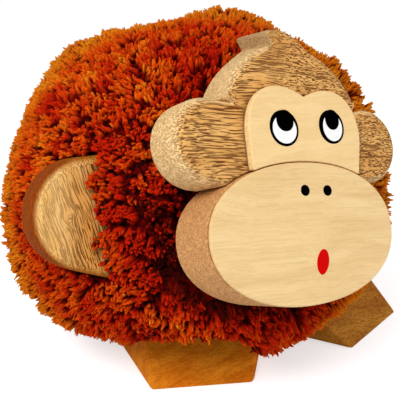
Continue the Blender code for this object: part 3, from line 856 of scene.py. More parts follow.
def board(name: str, outline: Outline, low: float, high: float, place: Matrix, rounding: float | list[float],
          segments: int = 7, spacing: float = 0.8, raised: Point3 | None = None,
          painted_shades: float | list[float] = 0.0) -> bpy.types.Object:
    """A board with rounded edges.

    Its attribute "wall" is 0 on its faces and 1 on its sawn edge, "back" is 1 on its back half, and
    "shaded" is how much painted shade darkens its sawn edge, as painted_shades says.

    Args:
        name: the piece's name.
        outline: its outline, anticlockwise.
        low: its back face.
        high: its front face.
        place: its own frame.
        rounding: the radius of its edges, one for all or one for each point.
        segments: how many facets each rounding has.
        spacing: the length of a step along the outline.
        raised: the middle, the half width and the height of a rise in the back's upper outline.
        painted_shades: how much painted shade darkens its sawn edge, one for all or one for each point.

    Returns:
        The finished object at the origin.
    """
    points = np.array(outline, dtype=float)
    points, radii, painted_shades = evened(points, np.broadcast_to(np.array(rounding, dtype=float), len(points)),
                                   np.broadcast_to(np.array(painted_shades, dtype=float), len(points)), spacing)
    along = unit(np.roll(points, -1, axis=0) - np.roll(points, 1, axis=0))
    outward = np.stack([along[:, 1], -along[:, 0]], axis=1)
    count = len(points)
    lift = np.zeros(count)
    if raised is not None:
        lift = raised[2] * np.exp(-((points[:, 0] - raised[0]) / raised[1]) ** 2) * (points[:, 1] > 0)
    rows, facing, walls, backs = [], [], [], []
    for front in (False, True):
        turns = np.linspace(0.0, math.pi / 2, segments + 1)
        for turn in turns if front else turns[::-1]:
            flat = points - outward * (radii * (1 - math.cos(turn)))[:, None]
            flat[:, 1] += 0.0 if front else lift
            step = radii * (1 - math.sin(turn))
            rows.append(np.column_stack([flat, high - step if front else low + step]))
            facing.append(np.column_stack([outward * math.cos(turn),
                                           np.full(count, math.sin(turn) * (1 if front else -1))]))
            walls += [math.cos(turn)] * count
            backs += [0.0 if front else 1.0] * count
    turn_matrix = np.array(place.to_3x3())
    verts = np.vstack(rows) * MM @ turn_matrix.T + np.array(place.to_translation())
    mesh = bpy.data.meshes.new(name)
    mesh.from_pydata(verts.tolist(), [], closed_faces(count, len(rows)))
    mesh.shade_smooth()
    for title, values in (("wall", walls), ("back", backs), ("shaded", np.tile(painted_shades, len(rows)))):
        write_floats(mesh, title, values)
    mesh.normals_split_custom_set_from_vertices((np.vstack(facing) @ turn_matrix.T).tolist())
    return new_object(name, mesh)


@dataclass(frozen=True)
class HeadFrame:
    """Where the flat front of the face is, with its origin on the neck peg."""

    place: Point3 = (1.8, -74.1, 103.9)
    turn: float = 9.0
    lean: float = 22.4
    tilt: float = -11.5

    def matrix(self) -> Matrix:
        """Head coordinates to the body's: x across, y up and z out of the face."""
        return shift(self.place) @ turn_by(self.turn, "Z") @ turn_by(90.0 - self.lean, "X") @ turn_by(self.tilt, "Z")


@dataclass
class Muzzle:
    """The thick oval block under the face and the pale plate on its front."""

    frame: HeadFrame = field(default_factory=HeadFrame)
    half_width: float = 42.3
    half_height: float = 23.7
    fullness: float = 2.16
    offset_x: float = -3.3
    drop: float = 32.0
    thickness: float = 17.2
    plate: float = 1.5
    gap: float = 0.3
    rounding: float = 0.9
    plate_rounding: float = 0.5

    def outline(self, grow: float = 0.0, steps: int = 160) -> Outline:
        """Its oval."""
        return oval((self.offset_x, -self.drop), self.half_width, self.half_height, self.fullness, grow, steps)

    def top(self, x: float, grow: float) -> float:
        """Height of its upper edge at x."""
        share = min(abs(x - self.offset_x) / (self.half_width + grow), 1.0)
        return -self.drop + (self.half_height + grow) * (1 - share ** self.fullness) ** (1 / self.fullness)

    def build(self) -> None:
        """Make and dress the block and its plate."""
        matrix = self.frame.matrix()
        front = -self.plate - self.gap
        block = board("muzzle_wood_block", self.outline(), front - self.thickness, front, matrix, self.rounding)
        dress(block, MUZZLE_WOOD.material(matrix), "head", "muzzle_wood", "muzzle_block")
        plate = board("muzzle_pale_plate", self.outline(), -self.plate, 0.0, matrix, self.plate_rounding, segments=3)
        dress(plate, PALE_MUZZLE.material(matrix), "head", "pale_wood", "muzzle_plate")


@dataclass
class Head:
    """The sawn block of dome, ears and crest, and the pale face plate on it."""

    muzzle: Muzzle = field(default_factory=Muzzle)
    frame: HeadFrame = field(default_factory=HeadFrame)
    thickness: float = 16.5
    face_thickness: float = 3.0
    gap: float = 0.3
    dome_half_width: float = 34.0
    dome_half_height: float = 32.0
    dome_y: float = 2.0
    ear_reach: float = 53.0
    ear_half_height: float = 14.2
    ear_tip: float = 15.0
    ear_y: float = -1.0
    crest_height: float = 4.2
    crest_rise: Point3 = (-7.0, 9.0, 2.6)
    crease: Point2 = (28.4, 11.2)
    crest_left: float = -11.4
    crest_right: float = 6.4
    rounding: float = 4.6
    plate_rounding: float = 0.5
    brow_x: float = 11.3
    face_half_width: float = 26.5
    face_top: float = 17.2
    notch: float = 3.2
    face_fullness: float = 2.3
    cheek_x: float = 24.0
    cheek_spread: float = 2.2

    def dome_top(self, x: float) -> float:
        """Height of the dome at x."""
        return self.dome_y + self.dome_half_height * math.sqrt(max(1 - (x / self.dome_half_width) ** 2, 0.0))

    def dome_side(self, y: float) -> float:
        """Half width of the dome at y."""
        return self.dome_half_width * math.sqrt(max(1 - ((y - self.dome_y) / self.dome_half_height) ** 2, 0.0))

    def ear(self, side: Side, steps: int = 36) -> Outline:
        """The round end of one ear, from its top to its bottom.

        Args:
            side: which ear.
            steps: how many steps it takes.

        Returns:
            Its points.
        """
        centre = self.ear_reach - self.ear_tip
        angles = [math.radians(90 - 180 * i / steps) for i in range(steps + 1)]
        return [(side.value * (centre + self.ear_tip * math.cos(a)), self.ear_y + self.ear_half_height * math.sin(a))
                for a in angles]

    def seat_end(self, side: Side) -> float:
        """X where the curve round the muzzle meets the underside of one ear.

        Args:
            side: which ear.

        Returns:
            The place, in millimetres.
        """
        low = self.ear_y - self.ear_half_height
        inner, outer = self.muzzle.offset_x, side.value * self.ear_reach
        for _ in range(40):
            middle = (inner + outer) / 2
            if self.muzzle.top(middle, self.gap) > low:
                inner = middle
            else:
                outer = middle
        return inner

    def outline(self) -> tuple[Outline, list[float], list[float]]:
        """The block's outline, anticlockwise, and how its edge is.

        Returns:
            The points, and the radius and the painted shade of the edge at each.
        """
        ear_top = self.ear_y + self.ear_half_height
        top = self.dome_top(0.0) + self.crest_height
        first = math.degrees(math.atan2((ear_top - self.dome_y) / self.dome_half_height,
                                        self.dome_side(ear_top) / self.dome_half_width))
        dome = oval((0, self.dome_y), self.dome_half_width, self.dome_half_height, steps=80, start=first,
                    end=180 - first)
        # the crest climbs from the dome on the right, levels out, and drops on the left
        crest = [(self.crest_right, self.dome_top(self.crest_right)),
                 (self.crest_right * 0.28, top - self.crest_height * 0.45),
                 (self.crest_left * 0.2, top - self.crest_height * 0.1),
                 (self.crest_left * 0.45, top),
                 (self.crest_left * 0.93, top - self.crest_height * 0.12),
                 (self.crest_left, top - self.crest_height * 0.3),
                 (self.crest_left + 2.0, self.dome_top(self.crest_left + 2.0))]
        low, high = self.seat_end(Side.RIGHT), self.seat_end(Side.LEFT)
        steps = 60
        seat = [(low + (high - low) * i / steps, self.muzzle.top(low + (high - low) * i / steps, self.gap))
                for i in range(steps + 1)]
        # each run of the outline, with its share of the full rounding
        runs = [(seat, 0.1), (list(reversed(self.ear(Side.LEFT))), 1.0), ([self.crease], 0.3),
                ([p for p in dome if p[0] > self.crest_right + 1.0], 0.85), (crest, 0.2),
                ([p for p in dome if p[0] < self.crest_left + 0.5], 0.85), ([(-self.crease[0], self.crease[1])], 0.3),
                (self.ear(Side.RIGHT), 1.0)]
        points, radii, painted_shades = [], [], []
        for run, share in runs:
            points += run
            radii += [share * self.rounding] * len(run)
            # the crest's sawn edge gets painted shade
            painted_shades += [1.0 if run is crest else 0.0] * len(run)
        return points, radii, painted_shades

    def face_outline(self) -> Outline:
        """Two brows and a notch over an edge that follows the muzzle, anticlockwise.

        Returns:
            The points of the plate's outline.
        """
        steps = 48
        low = -self.cheek_x - self.cheek_spread
        wide = 2 * self.cheek_x + self.cheek_spread
        bottom = [(low + wide * i / steps, self.muzzle.top(low + wide * i / steps, self.gap))
                  for i in range(steps + 1)]
        cheek = oval((self.brow_x, 0.0), self.face_half_width - self.brow_x, self.face_top, self.face_fullness,
                     steps=30, end=90.0)
        dips = 10
        brow = [(self.brow_x * (1 - i / dips), self.face_top - self.notch * (i / dips) ** 2) for i in range(1, dips)]
        right = cheek + brow
        left = [(-x, y) for x, y in reversed(right)]
        return bottom + right + [(0.0, self.face_top - self.notch)] + left

    def build(self) -> None:
        """Make and dress the block and the face plate."""
        matrix = self.frame.matrix()
        front = -self.face_thickness - self.gap
        points, radii, painted_shades = self.outline()
        block = board("head_wood_block", points, front - self.thickness, front, matrix, radii, spacing=0.6,
                      raised=self.crest_rise, painted_shades=painted_shades)
        dress(block, HEAD_WOOD.material(matrix), "head", "head_wood", "head_block")
        plate = board("face_pale_plate", self.face_outline(), -self.face_thickness, 0.0, matrix,
                      self.plate_rounding, segments=3)
        dress(plate, PALE_FACE.material(matrix), "head", "pale_wood", "face_plate")


@dataclass
class PaintedFace:
    """Eyes, nostrils and mouth, brushed on the two pale plates."""

    frame: HeadFrame = field(default_factory=HeadFrame)
    coat: float = 0.1
    sunk: float = 0.08
    rounding: float = 0.05
    rings: tuple[Spot, Spot] = ((-11.15, 2.95, 6.45, 6.05), (11.8, 4.2, 6.3, 6.0))
    whites: tuple[Spot, Spot] = ((-11.05, 2.6, 5.35, 4.8), (12.25, 4.0, 4.85, 4.9))
    pupils: tuple[Spot, Spot] = ((-10.7, 5.5, 3.85, 3.6), (12.2, 6.75, 3.5, 3.6))
    nostrils: tuple[Spot, Spot] = ((-4.55, -17.8, 2.05, 1.9), (6.2, -18.1, 2.1, 1.85))
    mouth: Spot = (0.3, -42.0, 2.9, 4.25)
    mouth_slant: float = 0.21
    mouth_narrowing: float = 0.12

    def spot(self, name: str, outline: Outline, coats: int, finish: PaintFinish) -> None:
        """One brushed spot.

        Args:
            name: the piece's name.
            outline: its outline, anticlockwise.
            coats: how many coats over the plate its top is.
            finish: its paint.
        """
        item = board(name, outline, -self.sunk, coats * self.coat, self.frame.matrix(), self.rounding, segments=2,
                     spacing=0.35)
        dress(item, finish.material(), "head", "pale_wood")

    def mouth_outline(self) -> Outline:
        """A slanted oval that narrows towards its lower end.

        Returns:
            Its points, anticlockwise.
        """
        x, y, wide, high = self.mouth
        drop = []
        for px, py in oval((0.0, 0.0), 1.0, 1.0):
            narrow = 1.0 if py > 0 else 1.0 - self.mouth_narrowing * py * py
            drop.append((x + px * wide * narrow + py * high * self.mouth_slant, y + py * high))
        return drop

    def build(self) -> None:
        """Make every spot, the lower coats first."""
        kinds = (("eye_ring_", self.rings, 2.05, 1, BLACK_PAINT), ("eye_white_", self.whites, 2.0, 2, WHITE_PAINT),
                 ("eye_pupil_", self.pupils, 2.1, 3, BLACK_PAINT), ("nostril_", self.nostrils, 2.0, 1, BLACK_PAINT))
        for i, side in enumerate((Side.RIGHT, Side.LEFT)):
            for title, spots, fullness, coats, finish in kinds:
                x, y, wide, high = spots[i]
                self.spot(title + side.word, oval((x, y), wide, high, fullness), coats, finish)
        self.spot("mouth_paint", self.mouth_outline(), 1, RED_PAINT)


@dataclass
class Arm:
    """One paddle with a round end. Both share one tilted axis."""

    side: Side
    place: Point3 = (0.0, -43.6, 63.0)
    turn: float = 2.0
    tilt: float = 15.0
    lean: float = 15.0
    reach: float = 70.0
    thickness: float = 15.0
    tip_radius: float = 19.5
    flare: float = 12.0
    root: float = 20.0
    rounding: float = 3.8

    def matrix(self) -> Matrix:
        """The board's frame: x out along the arms' axis and z out of the front face.

        Returns:
            Where the board is.
        """
        middle = shift(self.place) @ turn_by(self.turn, "Z") @ turn_by(self.tilt, "Y")
        out = Matrix.Translation((self.side.value * self.reach * MM, 0, 0))
        return middle @ out @ turn_by(90.0 - self.lean, "X")

    def outline(self, steps: int = 60) -> Outline:
        """A round end whose straight edges open towards the body, anticlockwise.

        Args:
            steps: how many steps the round end takes.

        Returns:
            Its points.
        """
        last = 90.0 - self.flare
        points = []
        for i in range(steps + 1):
            angle = math.radians(-last + 2 * last * i / steps)
            points.append((self.tip_radius * math.cos(angle), self.tip_radius * math.sin(angle)))
        end = points[-1]
        height = end[1] + (end[0] + self.root) * math.tan(math.radians(self.flare))
        points = points + [(-self.root, height), (-self.root, -height)]
        if self.side is Side.RIGHT:
            points = [(-x, y) for x, y in reversed(points)]
        return points

    def holds(self, points: np.ndarray, spare: float, lap: float) -> np.ndarray:
        """Which points lie in the arm or in the free room before its round end.

        Args:
            points: places in the body's millimetres.
            spare: how far outside the arm a point still counts.
            lap: how far past the round end's centre the yarn laps over the face.

        Returns:
            A mask.
        """
        x, y, z = to_frame(points, self.matrix()).T
        x = x * self.side.value
        slope = math.radians(self.flare)
        start = self.tip_radius * math.sin(slope)
        edge = self.tip_radius * math.cos(slope) + (start - x) * math.tan(slope) + spare
        straight = (x < start) & (x > -self.root - spare) & (np.abs(y) < edge)
        rounded = (x >= start) & (np.hypot(x, y) < self.tip_radius + spare)
        inside = straight | rounded
        wood = (z < spare) & (z > -self.thickness - spare)
        return inside & (wood | ((z >= spare) & (x > lap)))

    def build(self) -> None:
        """Make and dress the arm."""
        item = board("arm_board_" + self.side.word, self.outline(), -self.thickness, 0.0, self.matrix(),
                     self.rounding)
        dress(item, ARM_WOOD.material(self.matrix()), "body", "arm_wood", "arm_" + self.side.word)


def to_frame(points: np.ndarray, place: Matrix) -> np.ndarray:
    """Places in the body's millimetres as millimetres in another frame."""
    back = np.array(place.inverted())
    return points @ back[:3, :3].T + back[:3, 3] / MM


@dataclass
class Foot:
    """One block under the body, its toe and its outer side sawn to a slope.

    The show fields, the rooms and the drop are the space that the yarn leaves over and beside its toe.
    """

    side: Side
    place: Point2 = (16.5, -48.6)
    turn: float = -3.8
    height: float = 18.0
    tip_offset: float = 25.5
    tip_length: float = 14.7
    outer_offset: float = 64.6
    notch: float = 17.5
    heel: float = 57.0
    heel_corner: float = 16.0
    toe_slope: float = 40.0
    side_lean: float = 18.0
    gap: float = 0.3
    show_depth: float = 14.5
    show_height: float = 17.5
    show_slope: float = 25.0
    inner_room: float = 7.0
    outer_room: float = 7.0
    inner_drop: float = 0.0
    drop_width: float = 14.0
    finish: WoodFinish = FOOT_WOOD
    rounding: float = 1.3

    def matrix(self) -> Matrix:
        """The feet's own frame, with its origin on the table between the toes."""
        return shift((*self.place, 0.0)) @ turn_by(self.turn, "Z")

    def sole(self) -> list[Vector]:
        """The left foot's outline on the table, toe first, anticlockwise.

        Returns:
            Its corners.
        """
        middle = self.gap / 2
        return [Vector((self.tip_offset, -self.tip_length)), Vector((self.outer_offset, 0.0)),
                Vector((self.outer_offset, self.heel - self.heel_corner)),
                Vector((self.outer_offset - self.heel_corner, self.heel)), Vector((middle, self.heel)),
                Vector((middle, self.notch))]

    def steps(self, height: float) -> list[float]:
        """How far each side of the outline has moved inwards at that height."""
        return [height / math.tan(math.radians(self.toe_slope)), height * math.tan(math.radians(self.side_lean)),
                0.0, 0.0, 0.0, 0.0]

    @staticmethod
    def moved(points: list[Vector], steps: list[float]) -> list[Vector]:
        """The outline with each side moved inwards by its own step.

        Args:
            points: the outline, anticlockwise.
            steps: how far each side moves.

        Returns:
            The corners of the moved outline.
        """
        count = len(points)
        lines = []
        for i in range(count):
            along = (points[(i + 1) % count] - points[i]).normalized()
            lines.append((points[i] + Vector((-along.y, along.x)) * steps[i], along))
        made = []
        for i in range(count):
            start, along = lines[i - 1]
            other_start, other = lines[i]
            cross = along.x * other.y - along.y * other.x
            gap = other_start - start
            made.append(start + along * ((gap.x * other.y - gap.y * other.x) / cross))
        return made

    def holds(self, points: np.ndarray, spare: float) -> np.ndarray:
        """Which points lie in the foot or in the free room over its toe.

        Args:
            points: places in the body's millimetres.
            spare: how far outside the foot a point still counts.

        Returns:
            A mask.
        """
        x, y, z = to_frame(points, self.matrix()).T
        x = x * self.side.value
        outline = self.sole()
        inside = z < self.height + spare
        for i, lean in enumerate(self.steps(1.0)):
            along = (outline[(i + 1) % len(outline)] - outline[i]).normalized()
            depth = (x - outline[i].x) * -along.y + (y - outline[i].y) * along.x
            inside &= depth > z * lean - spare
        toe = (outline[1] - outline[0]).normalized()
        ahead = (x - outline[0].x) * -toe.y + (y - outline[0].y) * toe.x
        beside = (x - outline[0].x) * toe.x + (y - outline[0].y) * toe.y
        reach = (outline[1] - outline[0]).length
        limit = self.show_height + (self.show_depth - ahead) * math.tan(math.radians(self.show_slope))
        limit -= self.inner_drop * np.clip(1 - beside / self.drop_width, 0, 1)
        free = ((ahead < self.show_depth) & (beside > -self.inner_room) & (beside < reach + self.outer_room)
                & (z < limit + spare))
        return inside | free

    def build(self) -> None:
        """Make and dress the foot."""
        sole = self.sole()
        top = self.moved(sole, self.steps(self.height))
        if self.side is Side.RIGHT:
            sole = [Vector((-p.x, p.y)) for p in reversed(sole)]
            top = [Vector((-p.x, p.y)) for p in reversed(top)]
        bm = bmesh.new()
        lower = [bm.verts.new(Vector((p.x, p.y, 0.0)) * MM) for p in sole]
        upper = [bm.verts.new(Vector((p.x, p.y, self.height)) * MM) for p in top]
        count = len(lower)
        bm.faces.new(list(reversed(lower)))
        bm.faces.new(upper)
        for i in range(count):
            j = (i + 1) % count
            bm.faces.new((lower[i], lower[j], upper[j], upper[i]))
        bmesh.ops.recalc_face_normals(bm, faces=bm.faces)
        mesh = bpy.data.meshes.new("foot")
        bm.to_mesh(mesh)
        bm.free()
        mesh.shade_smooth()
        item = new_object("foot_block_" + self.side.word, mesh, self.matrix())
        bevel = item.modifiers.new("rounding", "BEVEL")
        bevel.limit_method = "ANGLE"
        bevel.angle_limit = math.radians(25.0)
        bevel.width = self.rounding * MM
        bevel.segments = 5
        bevel.harden_normals = True
        settle(item)
        dress(item, self.finish.material(self.matrix()), "body", "foot_wood", "foot_" + self.side.word)


@dataclass(frozen=True)
class StrandShape:
    """One kind of strand that Geometry Nodes repeat over the pile, and how many pieces it is made in."""

    name: str
    length: float
    radius: float
    bend: float
    foot: float
    sides: int
    points: int
    taper: float
    pointed: float
    spare: float
    pieces: int


@dataclass
class YarnPile:
    """Tufts of thick cut yarn on a hidden ball: each tuft's ends lean together, with loose fibres round them."""

    arms: list[Arm]
    feet: list[Foot]
    head: HeadFrame = field(default_factory=HeadFrame)
    radius: float = 86.6
    height: float = 63.8
    rise: float = 78.5
    depth: float = 58.0
    fullness: float = 2.1
    under_fullness: float = 3.0
    seat: float = -20.6
    core: StrandShape = StrandShape("yarn_cores", length=9.0, radius=1.2, bend=1.2, foot=0.8, sides=6, points=5,
                                    taper=0.7, pointed=0.9, spare=1.5, pieces=6)
    fibre: StrandShape = StrandShape("yarn_fibres", length=5.0, radius=0.72, bend=0.7, foot=0.9, sides=4, points=4,
                                     taper=0.78, pointed=0.91, spare=0.5, pieces=8)
    variants: int = 8
    variant_turn: float = 2.4
    ends: int = 15500
    fibres: int = 3
    groups: int = 1500
    gather: float = 0.28
    lean: float = 0.2
    low_share: float = 0.34
    low_by: float = 0.9
    most_lean: float = 1.0
    comb: float = 4.1
    wave_length: float = 16.0
    wave_share: float = 0.6
    tuft_sway: float = 0.35
    low_sway: float = 0.2
    trim: float = 1.1
    own_trim: float = 0.66
    least_sink: float = 0.6
    tip_room: float = 1.6
    fibre_room: float = 0.6
    sunk: float = 5.2
    root_depth: float = 2.5
    shortest: float = 1.5
    brush: float = 1.7
    ruffle: float = 0.35
    ragged: Patch = (-38.0, 35.0, 28.0, 1.3)
    bulges: tuple[Patch, ...] = (
        (-15.0, 76.0, 11.0, 3.0), (-30.0, 57.0, 8.0, -5.5), (-36.0, 34.0, 6.0, 2.5), (-48.0, 2.0, 7.0, 5.0),
        (-33.5, 44.0, 4.0, 4.0), (-36.0, 31.0, 3.5, 4.0), (-42.0, 20.0, 3.0, 1.6),
        (137.0, 78.0, 11.0, -4.2), (153.0, 50.0, 9.0, 2.6), (162.0, 22.0, 16.0, -2.4), (175.0, -12.0, 14.0, 1.8),
        (-172.0, -24.0, 8.0, 1.0), (-147.0, -31.0, 8.0, -3.2), (-137.0, -32.0, 6.0, -3.5), (-97.0, -30.0, 9.0, 2.4))
    lap: float = 4.5
    hollow: float = 18.0
    hollow_depth: float = 26.0
    hollow_fade: float = 16.0
    hollow_top: float = 14.0
    tuft_tone: float = 0.6
    own_tone: float = 0.25
    # painted shade: the next three lower the tone of sunk ends, of ends round the muzzle and of low ends
    sink_tone: float = 0.18
    hollow_tone: float = 1.2
    under_tone: float = 0.2
    table_room: float = 2.5
    ground_rounds: int = 160
    ground_levels: int = 100
    seed: int = 7

    def surface(self, directions: np.ndarray, sunk: float = 0.0) -> np.ndarray:
        """Where rays from the ball's middle level meet the trimmed surface.

        Args:
            directions: unit vectors.
            sunk: how far below the surface the places are.

        Returns:
            The places.
        """
        flat = np.hypot(directions[:, 0], directions[:, 1])
        up = directions[:, 2]
        rise = np.where(up > 0, self.rise, self.depth) - sunk
        power = np.where(up > 0, self.fullness, self.under_fullness)
        size = (np.abs(flat / (self.radius - sunk)) ** power + np.abs(up / rise) ** power) ** (-1 / power)
        for turn, high, width, swell in self.bulges:
            size = size + swell * self.nearness(directions, turn, high, width)
        return directions * size[:, None] + np.array([0.0, 0.0, self.height])

    @staticmethod
    def nearness(directions: np.ndarray, turn: float, high: float, width: float) -> np.ndarray:
        """How near each direction is to one azimuth and elevation, 1 there and falling over width degrees.

        Args:
            directions: unit vectors.
            turn: the azimuth, in degrees.
            high: the elevation, in degrees.
            width: how far it reaches, in degrees.

        Returns:
            A share for each direction.
        """
        turn, high = math.radians(turn), math.radians(high)
        middle = np.array([math.cos(high) * math.cos(turn), math.cos(high) * math.sin(turn), math.sin(high)])
        away = np.degrees(np.arccos(np.clip(directions @ middle, -1, 1)))
        return np.exp(-(away / width) ** 2)

    @staticmethod
    def spread(count: int, rng: np.random.Generator) -> np.ndarray:
        """Even directions all round, each a little off its place.

        Args:
            count: how many.
            rng: where the random numbers come from.

        Returns:
            Unit vectors.
        """
        turn = np.arange(count) + 0.5
        up = 1 - 2 * turn / count
        angle = turn * math.pi * (3 - math.sqrt(5))
        flat = np.sqrt(1 - up * up)
        made = np.stack([flat * np.cos(angle), flat * np.sin(angle), up], axis=1)
        return unit(made + rng.normal(scale=0.8 / math.sqrt(count), size=(count, 3)))

    def waves(self, points: np.ndarray, rng: np.random.Generator) -> np.ndarray:
        """A slow vector field that leans neighbouring yarn ends the same way.

        Args:
            points: where it is read, in millimetres.
            rng: where the random numbers come from.

        Returns:
            A vector for each point.
        """
        made = np.zeros_like(points)
        for scale in (1.0, 2.2):
            for axis in range(3):
                for _ in range(5):
                    turn = rng.normal(size=3)
                    turn *= 2 * math.pi / (self.wave_length * scale) / np.linalg.norm(turn)
                    made[:, axis] += 0.2 * np.sin(points @ turn + rng.uniform(0, 2 * math.pi))
        return made

    def in_wood(self, points: np.ndarray, spare: float) -> np.ndarray:
        """Which places are in an arm, in a foot, before the head's seat or in the table.

        Args:
            points: places in the body's millimetres.
            spare: how far from wood counts as in it.

        Returns:
            A mask.
        """
        hit = points[:, 2] < self.table_room
        hit |= to_frame(points, self.head.matrix())[:, 2] > self.seat - spare * 0.5
        for arm in self.arms:
            hit |= arm.holds(points, spare, self.lap)
        for foot in self.feet:
            hit |= foot.holds(points, spare)
        return hit

    def by_muzzle(self, points: np.ndarray) -> np.ndarray:
        """How deep in the hollow round the muzzle each place is, from 0 to 1, which is how much painted shade it gets.

        Args:
            points: places in the body's millimetres.

        Returns:
            A share for each place.
        """
        local = to_frame(points, self.head.matrix())
        muzzle = Muzzle()
        across = (local[:, 0] - muzzle.offset_x) / muzzle.half_width
        up = (local[:, 1] + muzzle.drop) / muzzle.half_height
        off = (np.hypot(across, up) - 1) * 0.5 * (muzzle.half_width + muzzle.half_height)
        beside = np.clip((self.hollow - off) / self.hollow, 0, 1)
        behind = np.clip((local[:, 2] - self.seat + self.hollow_depth) / self.hollow_fade, 0, 1)
        return beside * behind * np.clip((self.hollow_top - local[:, 1]) / self.hollow_top, 0, 1)

    def pressed(self, points: np.ndarray, out: np.ndarray, spare: float) -> np.ndarray:
        """Places pushed back behind the plane at the back of the head.

        Args:
            points: places in the body's millimetres.
            out: the way out of the pile at each.
            spare: how far behind the plane they stay.

        Returns:
            The places.
        """
        normal = np.array(self.head.matrix())[:3, 2]
        over = to_frame(points, self.head.matrix())[:, 2] - self.seat + spare
        return points - out * np.where(over > 0, over / np.maximum(out @ normal, 0.25), 0.0)[:, None]

    def out_of_wood(self, roots: np.ndarray, tips: np.ndarray, spare: float) -> tuple[np.ndarray, np.ndarray]:
        """Roots moved up their strands until nothing is in wood, and which strands are worth keeping.

        Args:
            roots: where the strands start.
            tips: where they end.
            spare: how far from wood they stay.

        Returns:
            The new roots, and a mask of those that are kept.
        """
        steps = 10
        start = np.zeros(len(roots))
        for k in range(steps, -1, -1):
            hit = self.in_wood(roots + (tips - roots) * (k / steps), spare)
            start = np.where(hit & (start == 0), (k + 1) / steps, start)
        moved = roots + (tips - roots) * start[:, None]
        return moved, (start < 1.0) & (np.linalg.norm(tips - moved, axis=1) > self.shortest)

    def cores(self, rng: np.random.Generator) -> tuple[Strands, np.ndarray]:
        """The thick strands. Those of one tuft lean the same way and are cut to one height.

        Args:
            rng: where the random numbers come from.

        Returns:
            The strands, and the way out of the pile at each.
        """
        middle = np.array([0.0, 0.0, self.height])
        way = self.spread(self.ends, rng)
        top = self.surface(way)
        out = unit(top - middle)
        tree = KDTree(self.groups)
        centres = self.surface(self.spread(self.groups, rng))
        for i, place in enumerate(centres):
            tree.insert(place, i)
        tree.balance()
        near = np.array([tree.find(place)[1] for place in top])
        group_sink = np.abs(rng.normal(scale=self.trim, size=self.groups))
        group_tone = rng.uniform(0, 1, self.groups)
        group_sway = self.wave_share * self.waves(centres, rng)
        group_sway += rng.normal(scale=self.tuft_sway, size=(self.groups, 3))
        sway = square_to(group_sway[near] + rng.normal(scale=self.lean, size=(self.ends, 3)), out)
        sway /= np.sqrt(1 + (np.linalg.norm(sway, axis=1)[:, None] / self.most_lean) ** 2)
        # some strands stand lower and nearly upright, in the gaps between the others
        low = rng.uniform(size=self.ends) < self.low_share
        sway[low] *= self.low_sway
        turn, high, width, more = self.ragged
        uneven = 1 + more * self.nearness(way, turn, high, width)
        sink = np.abs(rng.normal(scale=self.own_trim, size=self.ends)) + group_sink[near] * uneven + self.least_sink
        sink = sink + self.low_by * low

        def laid(sway: np.ndarray) -> np.ndarray:
            """The tips of ends that are combed over that way.

            Args:
                sway: how far each leans.

            Returns:
                The tips.
            """
            tips = top + sway * self.comb + (centres[near] - top) * self.gather
            high = np.einsum("ij,ij->i", tips - middle, out) - np.linalg.norm(top - middle, axis=1)
            return self.pressed(tips - out * (high + sink)[:, None], out, self.tip_room)

        tips = laid(sway)
        # ends that lean into wood lean the other way, and stand if that doesn't help either
        for turn_back in (-1.0, 0.1):
            sway = np.where(self.in_wood(tips, self.core.spare)[:, None], sway * turn_back, sway)
            tips = laid(sway)
        deep = self.sunk + self.root_depth
        roots = self.pressed(self.surface(way, deep), out, deep)
        # painted shade: deeper ends are darker, and so are those in the hollow round the muzzle and under the pile
        tone = self.tuft_tone * group_tone[near] + self.own_tone * rng.uniform(0, 1, self.ends)
        tone = tone + self.sink_tone * (2.4 - sink)
        under = np.clip((self.height - tips[:, 2]) / 30.0, 0, 1)
        tone -= self.hollow_tone * self.by_muzzle(tips) + self.under_tone * under
        return (roots, tips, tone), out

    def loose(self, rng: np.random.Generator, cores: Strands, out: np.ndarray) -> Strands:
        """The fibres that stand out round the end of each core.

        Args:
            rng: where the random numbers come from.
            cores: the thick strands.
            out: the way out of the pile at each of them.

        Returns:
            The fibres.
        """
        count = self.ends * self.fibres
        owner = np.repeat(np.arange(self.ends), self.fibres)
        roots, tips, tone = (values[owner] for values in cores)
        axis = unit(tips - roots)
        side = unit(square_to(rng.normal(size=(count, 3)), axis))
        spread = np.sqrt(rng.uniform(0.02, 1, count))
        rise = 0.5 * (1 - spread ** 2) + rng.normal(scale=0.3, size=count)
        ends = tips + side * (spread * self.brush)[:, None] + axis * rise[:, None]
        starts = roots + (tips - roots) * rng.uniform(0.3, 0.6, count)[:, None]
        starts += side * (spread * self.core.radius * 0.75)[:, None]
        fine = np.clip(tone + rng.normal(scale=0.2, size=count), -1.2, 1)
        return starts, self.pressed(ends, out[owner], self.fibre_room), fine

    def strands(self) -> dict[StrandShape, Strands]:
        """Where each core and each fibre starts and ends, and its tone.

        Returns:
            For both kinds, roots and ends in millimetres, and tones, which are higher where the yarn is paler.
        """
        rng = np.random.default_rng(self.seed)
        cores, out = self.cores(rng)
        made = {self.core: cores, self.fibre: self.loose(rng, cores, out)}
        for shape, (roots, tips, tone) in made.items():
            moved, keep = self.out_of_wood(roots, tips, shape.spare)
            LOG.info("%s: %d of %d kept", shape.name, int(keep.sum()), len(keep))
            made[shape] = (moved[keep], tips[keep], tone[keep])
        return made

    def bent_strands(self, nodes: Tree, g: bpy.types.bpy_prop_collection) -> bpy.types.NodeSocket:
        """The few strands that are repeated, each bent its own way.

        Args:
            nodes: the tree that makes them.
            g: its inputs.

        Returns:
            One instance of each.
        """
        ring = nodes.add("GeometryNodeCurvePrimitiveCircle", {"Resolution": g["Sides"], "Radius": 1.0}).outputs[0]
        ring = nodes.store(ring, "round", nodes.add("GeometryNodeInputPosition").outputs[0], "FLOAT_VECTOR")
        line = nodes.add("GeometryNodeCurvePrimitiveLine", {"Start": (0.0, 0.0, 0.0), "End": (0.0, 0.0, 1.0)})
        steps = nodes.add("GeometryNodeResampleCurve", {"Curve": line.outputs[0], "Count": g["Points"]}).outputs[0]
